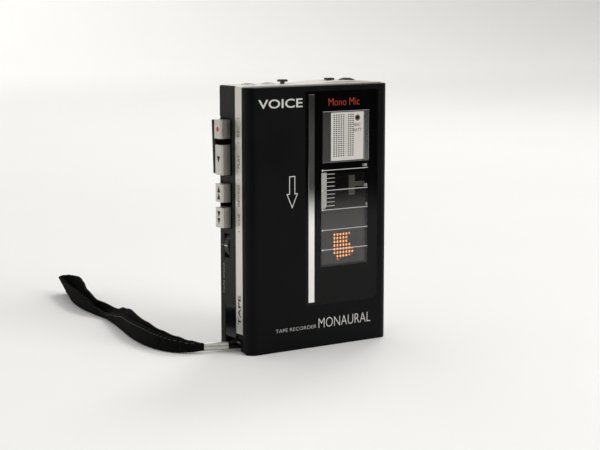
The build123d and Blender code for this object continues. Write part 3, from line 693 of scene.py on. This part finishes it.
# %% [markdown]
# ## What webbing looks like
# Polyester webbing is warp threads along the strap with a weft crossing them: small bars about 1.4 mm
# along and 0.9 mm across, each row half a thread off the next. The grid's own UV map runs the length of
# the strap, so the weave follows every bend. Fibre sheen is what makes black webbing look grey at its edges.


# %% Webbing and cord finishes
def woven_polyester(name, length_mm):
    """Black webbing; the thread counts come from the strap's length and width."""
    finish, shader = new_finish(name, Specular_IOR_Level=0.06, Sheen_Weight=0.02, Sheen_Roughness=0.45)
    shader.inputs["Sheen Tint"].default_value = tint("#9a9a96")
    place = add(finish, "ShaderNodeTexCoord")
    threads = add(
        finish,
        "ShaderNodeTexBrick",
        {"offset": 0.5, "squash": 1.0},
        {"Vector": place.outputs["UV"], "Scale": 1.0, "Brick Width": RIB / length_mm,
         "Row Height": 0.9 / WEBBING_WIDE, "Mortar Size": 0.0016, "Mortar Smooth": 1.0,
         "Color1": tint("#0a0a09"), "Color2": tint("#131312"), "Mortar": tint("#020202")},
    )
    fluff = grain(finish, 0.5, 4.0)
    shade = add(
        finish,
        "ShaderNodeMix",
        {"data_type": "RGBA", "blend_type": "MULTIPLY"},
        {"Factor": 0.5, 6: threads.outputs["Color"], 7: fluff.outputs["Color"]},
    )
    join_to(finish, shade.outputs[2], shader, "Base Color")
    join_to(finish, spread(finish, fluff.outputs["Fac"], 0.7, 0.92), shader, "Roughness")
    level = add(
        finish, "ShaderNodeMath", {"operation": "SUBTRACT"}, {0: 1.0, 1: threads.outputs["Fac"]}
    )
    relief(finish, shader, level.outputs["Value"], 0.12, 0.8)
    return finish


def braided_polyester():
    """Braided cord: short slanting threads, 0.4 mm wide, wound both ways round a 1.5 mm core."""
    finish, shader = new_finish("braided_polyester", Specular_IOR_Level=0.2, Sheen_Weight=0.1)
    place = add(finish, "ShaderNodeTexCoord")
    both_ways = []
    for slant in (0.8, -0.8):
        where = {"Vector": place.outputs["Object"], "Rotation": (0, slant, 0.3)}
        turned = add(finish, "ShaderNodeMapping", inputs=where)
        wave = add(finish, "ShaderNodeTexWave", inputs={"Vector": turned.outputs["Vector"], "Scale": 380.0})
        both_ways.append(wave.outputs["Fac"])
    braid = add(finish, "ShaderNodeMath", {"operation": "MAXIMUM"}, {0: both_ways[0], 1: both_ways[1]})
    two_tone(finish, shader, braid.outputs["Value"], "#0b0b0b", "#212120")
    join_to(finish, spread(finish, braid.outputs["Value"], 0.8, 0.6, 0.0, 1.0), shader, "Roughness")
    relief(finish, shader, braid.outputs["Value"], 0.08, 0.7)
    return finish


# %% Lay the doubled webbing
webbing_line = follow("webbing_guide", [spot(x, d, 5.4) for x, d in WEBBING_ROUTE])
webbing_length = webbing_line[1][-1]
#        distance, lean, width, foot, side step
NEAR_LAYER = (
    (0, 0, 3.0, 1.1, 0.62), (6, 0, 4.6, 0.6, 0.62), (12, 0, 6.2, 0.4, 0.62), (22, 0, 7.5, 0.35, 0.62),
    (36, 0, 8.5, 0.35, 0.62), (62, 4, 8.2, 0.35, 0.62), (80, 10, 5.6, 0.35, 0.7), (95, 26, 3.2, 0.35, 0.9),
)
FAR_LAYER = (
    (0, 0, 3.0, 1.1, -0.62), (6, 0, 4.9, 0.6, -0.62), (12, 0, 6.8, 0.4, -0.62), (22, -2, 8.4, 0.35, -0.62),
    (36, -5, 9.7, 0.5, -0.62), (62, -9, 10.0, 0.9, -0.62), (78, -20, 8.4, 0.5, -0.62),
    (95, -32, 5.6, 0.35, -0.6),
)
near_band = band("near_band", webbing_line, NEAR_LAYER)
far_band = band("far_band", webbing_line, FAR_LAYER)
webbing = join("strap_doubled_webbing", [near_band, far_band])
print("doubled webbing", round(webbing_length / MM, 1), "mm,", len(webbing.data.polygons), "faces")

# %% Lay the loop
loop_line = follow("loop_guide", [spot(x, d, 5.4) for x, d in LOOP_ROUTE])
loop_length = loop_line[1][-1]
LOOP_LEAN = (
    (0, 26, 3.2, 0.35, 0.3), (8, 16, 3.8, 0.35, 0.1), (20, 13, 7.2, 0.35, -0.6), (34, 15, 9.4, 0.35, -1.2),
    (52, 18, 9.8, 0.35, -1.5), (68, 26, 9.6, 0.6, -2.0), (78, 28, 9.4, 0.9, -2.0), (88, 12, 9.6, 0.6, -1.0),
    (102, 0, 9.8, 0.35, 0.0), (118, -8, 8.6, 0.35, 0.0), (132, -4, 6.0, 0.35, 0.0),
    (148, 32, 5.4, 0.35, 0.1),
)
loop = band("strap_hand_loop", loop_line, LOOP_LEAN)
print("loop", round(loop_length / MM, 1), "mm,", len(loop.data.polygons), "faces")

# %% [markdown]
# ## The stitching
# Two layers of webbing are held by a row of lock stitches near the top edge. Each stitch is a short,
# rounded bar that sinks into the webbing at both ends; one is modelled, and the rest are copies.

# %% Stitches
STITCH_LONG = 1.5
STITCH_PITCH = 2.4
STITCH_HEIGHT = 0.86


def stitch(name):
    """One stitch along x: a bar with bevelled edges, thicker in its middle."""
    half = Vector((STITCH_LONG, 0.3, 0.34)) * MM / 2
    piece = block(name, -half, half)
    edit(piece, "EDGE")
    bpy.ops.mesh.select_all(action="SELECT")
    bpy.ops.mesh.bevel(offset=0.1 * MM, segments=2, affect="EDGES")
    return close_edit(piece)


first = stitch("stitch")
stitches = []
for number in range(round((webbing_length / MM - 8) / STITCH_PITCH)):
    distance = (5 + number * STITCH_PITCH) * MM
    place, side = across_band(webbing_line, NEAR_LAYER, distance, STITCH_HEIGHT)
    heading = along(webbing_line, distance)[1]
    outward = side.normalized()
    copy = bpy.data.objects.new("stitch_copy", first.data.copy())
    bpy.context.collection.objects.link(copy)
    turn = Matrix((heading, outward, heading.cross(outward))).transposed()
    seat = place + outward * (WEBBING_THICK / 2 + 0.03) * MM
    copy.data.transform(Matrix.Translation(seat) @ turn.to_4x4())
    stitches.append(copy)
bpy.data.objects.remove(first)
stitching = join("strap_stitching", stitches)
print(len(stitches), "stitches")

# %% Lay the cord, and say what each cord is
loop_cord = spline("strap_pin_cord", [spot(*place) for place in CORD_ROUTE])
bpy.context.collection.objects.link(loop_cord)
loop_cord.data.bevel_depth = CORD_WIDE / 2 * MM
loop_cord.data.bevel_resolution = 4
loop_cord.data.use_fill_caps = True
loop_cord.data.materials.append(braided_polyester())
webbing.data.materials.clear()
webbing.data.materials.append(woven_polyester("woven_polyester_doubled", webbing_length / MM))
loop.data.materials.clear()
loop.data.materials.append(woven_polyester("woven_polyester_loop", loop_length / MM))
stitching.data.materials.clear()
stitching.data.materials.append(ink("polyester_thread", "#2c2c2a", "#434340"))
for piece in (webbing, loop):
    smooth(piece, 50)
smooth(stitching, 40)
for piece in (loop_cord, webbing, loop, stitching):
    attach(piece, "case")
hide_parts("strap_cord")
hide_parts("strap_webbing")
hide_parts("strap_loop")


# %% [markdown]
# ## The microphone's plate
# The plate is 0.6 mm aluminium punched with rows of fine holes. A grid whose lines fall on both sides of
# every hole gives one face per hole; cutting those faces' corners makes them round enough, and pushing
# them in makes pits 0.45 mm deep, whose walls and floors get black ink as painted shade. A picture of dots
# would look flat from the side.

# %% Punch the plate
plate_low, plate_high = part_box("mic_grille")
plate_x = ((plate_low.x - LEFT) / MM, (plate_high.x - LEFT) / MM)
plate_z = (plate_low.z / MM, plate_high.z / MM)
HOLE_WIDE = 0.8
HOLE_TALL = 0.5
ROW_PITCH = 0.9
ROWS = 21
COLUMNS = [plate_x[0] + 1.75 + 1.27 * i for i in range(5)] + [plate_x[0] + 9.5 + 1.2 * i for i in range(3)]
FIRST_ROW = plate_z[0] + 1.7 + 0.35


def breaks(low, high, centres, hole):
    """Where a grid's lines fall: the two ends, and both sides of every hole."""
    lines = [low]
    for centre in centres:
        lines += [centre - hole / 2, centre + hole / 2]
    return lines + [high]


row_centres = [FIRST_ROW + ROW_PITCH * i for i in range(ROWS)]
x_lines = breaks(*plate_x, COLUMNS, HOLE_WIDE)
z_lines = breaks(*plate_z, row_centres, HOLE_TALL)
bpy.ops.object.select_all(action="DESELECT")
bpy.ops.mesh.primitive_grid_add(x_subdivisions=len(x_lines) - 1, y_subdivisions=len(z_lines) - 1, size=1)
mic_plate = bpy.context.object
mic_plate.name = "mic_punched_plate"
for vertex in mic_plate.data.vertices:
    column = round((vertex.co.x + 0.5) * (len(x_lines) - 1))
    row = round((vertex.co.y + 0.5) * (len(z_lines) - 1))
    vertex.co = Vector((LEFT + x_lines[column] * MM, plate_low.y, z_lines[row] * MM))


def is_hole(face):
    """True for a face whose middle is the middle of a hole."""
    middle = face.calc_center_median()
    x = (middle.x - LEFT) / MM
    z = middle.z / MM
    near_column = min(abs(x - c) for c in COLUMNS) < 0.05
    return near_column and min(abs(z - c) for c in row_centres) < 0.05


mesh = edit(mic_plate)
choose(mesh, mesh.faces, is_hole)
bpy.ops.mesh.select_mode(type="VERT")
bpy.ops.mesh.bevel(offset=0.13 * MM, affect="VERTICES")
bpy.ops.mesh.select_mode(type="FACE")
mesh = bmesh.from_edit_mesh(mic_plate.data)
choose(mesh, mesh.faces, is_hole)
bpy.ops.mesh.extrude_region_move(TRANSFORM_OT_translate={"value": (0, 0.45 * MM, 0)})
bpy.ops.mesh.select_mode(type="EDGE")
mesh = bmesh.from_edit_mesh(mic_plate.data)
choose(mesh, mesh.edges, lambda e: e.is_boundary)
bpy.ops.mesh.extrude_region_move(TRANSFORM_OT_translate={"value": (0, 0.6 * MM, 0)})
bpy.ops.mesh.edge_face_add()
close_edit(mic_plate)
finish_piece(mic_plate, "lid", plate_metal)
# Painted shade: the small faces 0.1 to 0.5 mm behind the plate's face, the holes' walls and floors, get black
# ink.
mic_plate.data.materials.append(black_ink)
for face in mic_plate.data.polygons:
    if plate_low.y + 0.1 * MM < face.center.y < plate_low.y + 0.5 * MM and face.area < 1e-6:
        face.material_index = 1
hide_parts("mic_grille")
print(ROWS * len(COLUMNS), "holes")

# %% Two chrome bars at the plate's right edge
bezel_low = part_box("mic_bezel")[0]
bars = []
for start in (0.45, 1.75):
    low = Vector((plate_high.x + start * MM, bezel_low.y - 0.22 * MM, plate_low.z))
    high = Vector((plate_high.x + (start + 0.95) * MM, bezel_low.y + 0.2 * MM, plate_high.z))
    bar = block("mic_bar", low, high)
    mesh = edit(bar, "EDGE")
    choose(mesh, mesh.edges, lambda e: all(v.co.y < low.y + 0.01 * MM for v in e.verts)
           and abs(e.verts[0].co.z - e.verts[1].co.z) > 1 * MM)
    bpy.ops.mesh.bevel(offset=0.32 * MM, segments=5, affect="EDGES")
    bars.append(close_edit(bar))
finish_piece(join("mic_chrome_bars", bars), "lid", chrome, 60)

# %% [markdown]
# ## The running indicator
# Behind the punched mask a disc turns with the take-up reel. Orange fields are printed on it, given a painted
# glow, so the dots seem to run while the tape moves. Each field is a wedge swept by the spin tool; three
# share the disc.

# %% Print the disc
disc_low, disc_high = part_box("indicator_disc")
hub = Vector(((disc_low.x + disc_high.x) / 2, disc_low.y - INK * MM, (disc_low.z + disc_high.z) / 2))
FIELDS = 3


def wedge(name, inner, outer, start, sweep):
    """A flat field between two radii, swept about the hub from one angle through another."""
    bpy.ops.object.select_all(action="DESELECT")
    bpy.ops.mesh.primitive_plane_add(size=1)
    piece = bpy.context.object
    piece.name = name
    mesh = edit(piece, "VERT")
    bmesh.ops.delete(mesh, geom=[v for v in mesh.verts if v.co.y > 0], context="VERTS")
    bmesh.update_edit_mesh(piece.data)
    mesh = bmesh.from_edit_mesh(piece.data)
    turn = math.radians(start)
    ray = Vector((math.cos(turn), 0, math.sin(turn)))
    ends = sorted(mesh.verts, key=lambda v: v.co.x)
    ends[0].co = hub + ray * inner * MM
    ends[1].co = hub + ray * outer * MM
    bpy.ops.mesh.select_all(action="SELECT")
    bpy.ops.mesh.spin(steps=18, angle=math.radians(sweep), center=hub, axis=(0, 1, 0))
    bpy.ops.mesh.select_all(action="SELECT")
    bpy.ops.mesh.extrude_region_move(TRANSFORM_OT_translate={"value": (0, INK * MM, 0)})
    return close_edit(piece)


fields = []
for number in range(FIELDS):
    fields.append(wedge("field_short", 4.0, 13.3, 14.4 + number * 360 / FIELDS, 35.6))
    fields.append(wedge("field_long", 4.0, 17.2, 50.0 + number * 360 / FIELDS, 50.0))
disc_print = join("indicator_print", fields)
finish_piece(disc_print, "indicator", orange)
print(len(fields), "printed fields")

# %% [markdown]
# ## Legends on the lid
# All of these are ink on the lid, the panel or the window, in plain words and signs only.

# %% Words, the arrow and the tape scale
panel_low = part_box("front_panel")[0]
PANEL_LIFT = (FRONT - panel_low.y) / MM
LINES = (78.4, 69.5, 60.9, 51.9, 43.1)
SCALE = ("100", "50", "0")

title = ink_text("title_print", "VOICE", (16.1, 108.5), 3.9, on_front, width=22.6, bold=0.012)
foot_small = ink_text("foot_print", "TAPE RECORDER", (24.1, 9.5), 1.5, on_front, width=21.4, bold=-0.02)
foot_large = ink_text("foot_large_print", "MONAURAL", (50.2, 10.6), 4.4, on_front, width=28.4, bold=-0.014)
ARROW = (
    (20.45, 77.0), (20.45, 69.4), (19.0, 69.4), (22.0, 62.9), (25.0, 69.4), (23.55, 69.4), (23.55, 77.0),
)
arrow = ink_shape("arrow_print", ARROW, on_front, outline=0.38)
lid_print = join("lid_white_print", [title, foot_small, foot_large, arrow])
finish_piece(lid_print, "lid", white_ink)

mic_words = ink_text(
    "mic_print", "Mono Mic", (49.5, 108.2), 3.2, on_front, width=16.6, bold=-0.02, lift=PANEL_LIFT
)
finish_piece(mic_words, "lid", red_ink)

scale = []
for number, z in enumerate(LINES):
    scale.append(ink_bar("line", (37.9, 62.5), (z - 0.14, z + 0.14), on_front, lift=PANEL_LIFT))
    scale.append(ink_dot("line_end", 38.0, z, 0.42, on_front, lift=PANEL_LIFT + 0.01))
    if number < len(SCALE):
        words = SCALE[number]
        middle = (62.4 - 0.5 * len(words), z + 1.25)
        scale.append(ink_text("figure", words, middle, 1.25, on_front, lift=PANEL_LIFT))
for top, foot in zip(LINES[:2], LINES[1:3]):
    for tick in range(1, 5):
        z = top + (foot - top) * tick / 5
        scale.append(ink_bar("tick", (40.3, 44.5), (z - 0.11, z + 0.11), on_front, lift=PANEL_LIFT))
window_print = join("window_print", scale)
finish_piece(window_print, "lid", white_ink)

BAR = ((37.4, 77.4), (37.4, 61.5), (39.3, 61.5), (40.2, 62.6), (40.2, 77.4))
index_bar = ink_shape("index_bar_print", BAR, on_front, lift=PANEL_LIFT)
finish_piece(index_bar, "lid", silver_ink)

# %% Marks on the microphone
PLATE_LIFT = (FRONT - plate_low.y) / MM
LAMP_RING = 1.35  # radius of the printed ring round the lamp
lamp_low, lamp_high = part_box("record_lamp")
lamp_x = ((lamp_low.x + lamp_high.x) / 2 - LEFT) / MM
lamp_z = (lamp_low.z + lamp_high.z) / 2 / MM
marks = [
    ink_text("lamp_words_1", "REC", (lamp_x, lamp_z - 3.1), 1.4, on_front, lift=PLATE_LIFT),
    ink_text("lamp_words_2", "BATT", (lamp_x, lamp_z - 5.4), 1.4, on_front, lift=PLATE_LIFT),
]
ring = round_corners(lamp_x, lamp_z, LAMP_RING, 24)
marks.append(ink_shape("lamp_ring", ring, on_front, outline=0.3, lift=PLATE_LIFT))
mic_marks = join("mic_black_print", marks)
finish_piece(mic_marks, "lid", black_ink)
# Painted shade: a grey line between the two sets of holes stands in for a groove's shade; no groove is cut.
groove_x = (COLUMNS[4] + COLUMNS[5]) / 2
groove_shade_line = ink_bar(
    "groove_painted_shade", (groove_x - 0.09, groove_x + 0.09), (row_centres[0], row_centres[-1]), on_front,
    lift=PLATE_LIFT,
)
finish_piece(groove_shade_line, "lid", grey_ink)

# %% [markdown]
# ## Legends on the side, the keys and the back
# Words on the narrow sides run up the case. Seen from outside, the left face and the back have their own
# left and right the other way round from the front, so their words are set mirrored.

# %% Side words and key signs
READ_UP = -math.pi / 2


def side_words(name, words, middle, height, face, width=None, bold=0.0):
    """Words that run up the left side."""
    return ink_text(name, words, middle, height, face, width=width, bold=bold, turn=READ_UP, mirror=-1)


band_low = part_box("silver_band")[0]
band_face = on_left(0.0)
band_middle = ((band_low.y - FRONT) / MM + 11.0) / 2
side = [
    side_words("rec_words", "REC", (band_middle, 96.9), 1.5, band_face, width=5.0),
    side_words("play_words", "PLAY", (band_middle, 84.0), 1.5, band_face, width=6.0),
    side_words("rewind_words", "REWIND", (band_middle, 69.4), 1.5, band_face, width=8.8),
    side_words("forward_words", "CUE", (band_middle, 58.8), 1.5, band_face, width=5.0),
    side_words("tape_words", "TAPE", (band_middle, 19.0), 2.1, band_face, width=13.0, bold=0.02),
]
for z in (102.3, 92.0, 76.0, 64.5, 53.6):
    side.append(ink_bar("key_limit", (band_middle - 0.6, band_middle + 0.6), (z - 0.12, z + 0.12), band_face))
side_print = join("band_black_print", side)
finish_piece(side_print, "case", black_ink)
speed_words = side_words("speed_print", "TAPE SPEED", (20.9, 31.6), 1.0, band_face, width=13.6)
speed_line = ink_bar("speed_line", (21.4, 22.4), (46.2, 46.5), band_face)
speed_print = join("cover_white_print", [speed_words, speed_line])
finish_piece(speed_print, "case", grey_ink)


def triangle(name, z, size, direction, face):
    """A small solid triangle pointing up (1) or down (-1), its middle at this height."""
    half = size / 2
    corners = [(17.3 - half, z - direction * half), (17.3 + half, z - direction * half)]
    corners.append((17.3, z + direction * half * 1.2))
    return ink_shape(name, corners, face)


def key_middle(name):
    low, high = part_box(name + "_cap")
    return (low.z + high.z) / 2 / MM, on_left((low.x - LEFT) / MM)


SIGNS = {"play": [(0.3, -1)], "rewind": [(1.5, 1), (-1.5, 1)], "forward": [(1.5, -1), (-1.5, -1)]}
for key, signs in SIGNS.items():
    z, face = key_middle(key)
    shapes = [triangle(key + "_sign", z + up, 2.6, direction, face) for up, direction in signs]
    finish_piece(join(key + "_sign", shapes), key + "_button", black_ink)
z, face = key_middle("record")
finish_piece(ink_dot("record_sign", 17.3, z, 1.05, face), "record_button", red_ink)

# %% Marks on the wheels and the back
MARK_HALF = 0.25 * MM  # half the width of a wheel's white mark
MARK_END = 0.4 * MM  # what is left free at each end of it
MARK_SUNK = 0.5 * MM
volume_low, volume_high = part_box("volume_wheel")
volume_x = (volume_low.x + volume_high.x) / 2
volume_mark = block(
    "volume_mark",
    Vector((volume_x - MARK_HALF, volume_low.y + MARK_END, volume_high.z - MARK_SUNK)),
    Vector((volume_x + MARK_HALF, volume_high.y - MARK_END, volume_high.z + INK * MM)),
)
speed_low, speed_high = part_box("speed_wheel")
speed_z = (speed_low.z + speed_high.z) / 2
speed_mark = block(
    "speed_mark",
    Vector((speed_low.x - INK * MM, speed_low.y + MARK_END, speed_z - MARK_HALF)),
    Vector((speed_low.x + MARK_SUNK, speed_high.y - MARK_END, speed_z + MARK_HALF)),
)
for mark, body in ((volume_mark, "volume"), (speed_mark, "speed")):
    edit(mark, "EDGE")
    bpy.ops.mesh.select_all(action="SELECT")
    bpy.ops.mesh.bevel(offset=0.08 * MM, segments=2, affect="EDGES")
    close_edit(mark)
    finish_piece(mark, body, white_ink)

door_low, door_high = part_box("battery_door")
door_face = on_back((door_high.y - FRONT) / MM)
door_x = ((door_low.x + door_high.x) / 2 - LEFT) / MM
DOOR_ARROW = ((-1.6, 12.2), (1.6, 12.2), (0.0, 9.6))
door_arrow = ink_shape("door_arrow", [(door_x + u, v) for u, v in DOOR_ARROW], door_face)
door_words = ink_text("door_words", "OPEN", (door_x, 6.9), 1.8, door_face, mirror=-1)
door_print = join("door_white_print", [door_arrow, door_words])
finish_piece(door_print, "battery_door", grey_ink)

plate_top = on_top(HEIGHT + 0.1)
top_words = [
    ink_text("mic_jack_words", "MIC", (10.6, 12.6), 1.1, plate_top),
    ink_text("ear_jack_words", "EAR", (21.0, 12.6), 1.1, plate_top),
]
top_print = join("top_black_print", top_words)
finish_piece(top_print, "case", black_ink)

# %% [markdown]
# ## The floor and the light
# A sweep of matt paper runs under the object and curves up behind it, so that no horizon shows.
# The room is white except in front, where it is dark: a black, glossy front shows whatever stands before it.
# For the same reason the paper's colour is darkened towards the front as painted shade, a little way from the
# object, so that the chrome strip is white at its foot and dark above, and the front is darkest at its top.

# %% Paper sweep
bpy.ops.object.select_all(action="DESELECT")
bpy.ops.mesh.primitive_plane_add(size=1, location=(0.6, 0.9, 0))
sweep = bpy.context.object
sweep.name = "paper_sweep"
sweep.scale = (9.0, 6.0, 1.0)
settle(sweep)
mesh = edit(sweep, "EDGE")
back_y = max(v.co.y for v in mesh.verts)
choose(mesh, mesh.edges, lambda e: all(abs(v.co.y - back_y) < 0.001 for v in e.verts))
bpy.ops.mesh.extrude_region_move(TRANSFORM_OT_translate={"value": (0, 0, 3.0)})
mesh = bmesh.from_edit_mesh(sweep.data)
choose(mesh, mesh.edges, lambda e: all(abs(v.co.y - back_y) < 0.001 and v.co.z < 0.001 for v in e.verts))
bpy.ops.mesh.bevel(offset=1.8, segments=16, affect="EDGES")
close_edit(sweep, outwards=False)
smooth(sweep, 60)


def matt_paper():
    """Seamless paper: matt and nearly white, with faint mottle; painted shade darkens its colour in front."""
    finish, shader = new_finish("matt_paper", Specular_IOR_Level=0.05)
    place = add(finish, "ShaderNodeTexCoord")
    parts = add(finish, "ShaderNodeSeparateXYZ", inputs={"Vector": place.outputs["Object"]})
    # Painted shade: the paper's colour falls to 3.5 % between y = -0.31 m and y = -0.50 m, in front of the
    # object.
    painted_shade = add(
        finish,
        "ShaderNodeMapRange",
        {"interpolation_type": "SMOOTHSTEP"},
        {"Value": parts.outputs["Y"], "From Min": -0.50, "From Max": -0.31, "To Min": 0.035, "To Max": 1.0},
    )
    mottle = grain(finish, 90.0, 3.0)
    ramp = add(finish, "ShaderNodeValToRGB", inputs={"Fac": mottle.outputs["Fac"]})
    ramp.color_ramp.elements[0].color = tint("#f2f1ef")
    ramp.color_ramp.elements[1].color = tint("#f5f4f2")
    shade = add(
        finish,
        "ShaderNodeMix",
        {"data_type": "RGBA", "blend_type": "MULTIPLY"},
        {"Factor": 1.0, 6: ramp.outputs["Color"], 7: painted_shade.outputs["Result"]},
    )
    join_to(finish, shade.outputs[2], shader, "Base Color")
    join_to(finish, spread(finish, mottle.outputs["Fac"], 0.85, 0.95), shader, "Roughness")
    return finish


sweep.data.materials.append(matt_paper())

# %% Lights
TARGET = spot(30, 20, 50)


def soft_light(name, place, size, power, aim=TARGET):
    """A square area light that looks at the object, or at another place."""
    data = bpy.data.lights.new(name, "AREA")
    data.size = size
    data.energy = power
    light = bpy.data.objects.new(name, data)
    bpy.context.collection.objects.link(light)
    light.location = place
    light.rotation_euler = (aim - light.location).to_track_quat("-Z", "Y").to_euler()
    return light


soft_light("key_light", Vector((0.9, 0.8, 1.3)), 0.5, 6.5)
soft_light("front_light", Vector((0.5, -1.1, 0.75)), 0.8, 9.0)
soft_light("background_light", Vector((0.4, 2.8, 2.4)), 2.0, 42.0, Vector((0.8, 4.6, 0.6)))

world = bpy.data.worlds.new("studio")
bpy.context.scene.world = world
world.use_nodes = True
sky = world.node_tree.nodes
links = world.node_tree.links
direction = sky.new("ShaderNodeTexCoord")
parts_of = sky.new("ShaderNodeSeparateXYZ")
links.new(direction.outputs["Generated"], parts_of.inputs["Vector"])
depth_to_light = sky.new("ShaderNodeMapRange")
links.new(parts_of.outputs["Y"], depth_to_light.inputs["Value"])
for socket, value in (("From Min", -0.75), ("From Max", -0.35), ("To Min", 0.03), ("To Max", 0.80)):
    depth_to_light.inputs[socket].default_value = value
links.new(depth_to_light.outputs["Result"], sky["Background"].inputs["Strength"])
sky["Background"].inputs["Color"].default_value = (1.0, 0.995, 0.985, 1.0)
bpy.context.scene.view_settings.view_transform = "Standard"
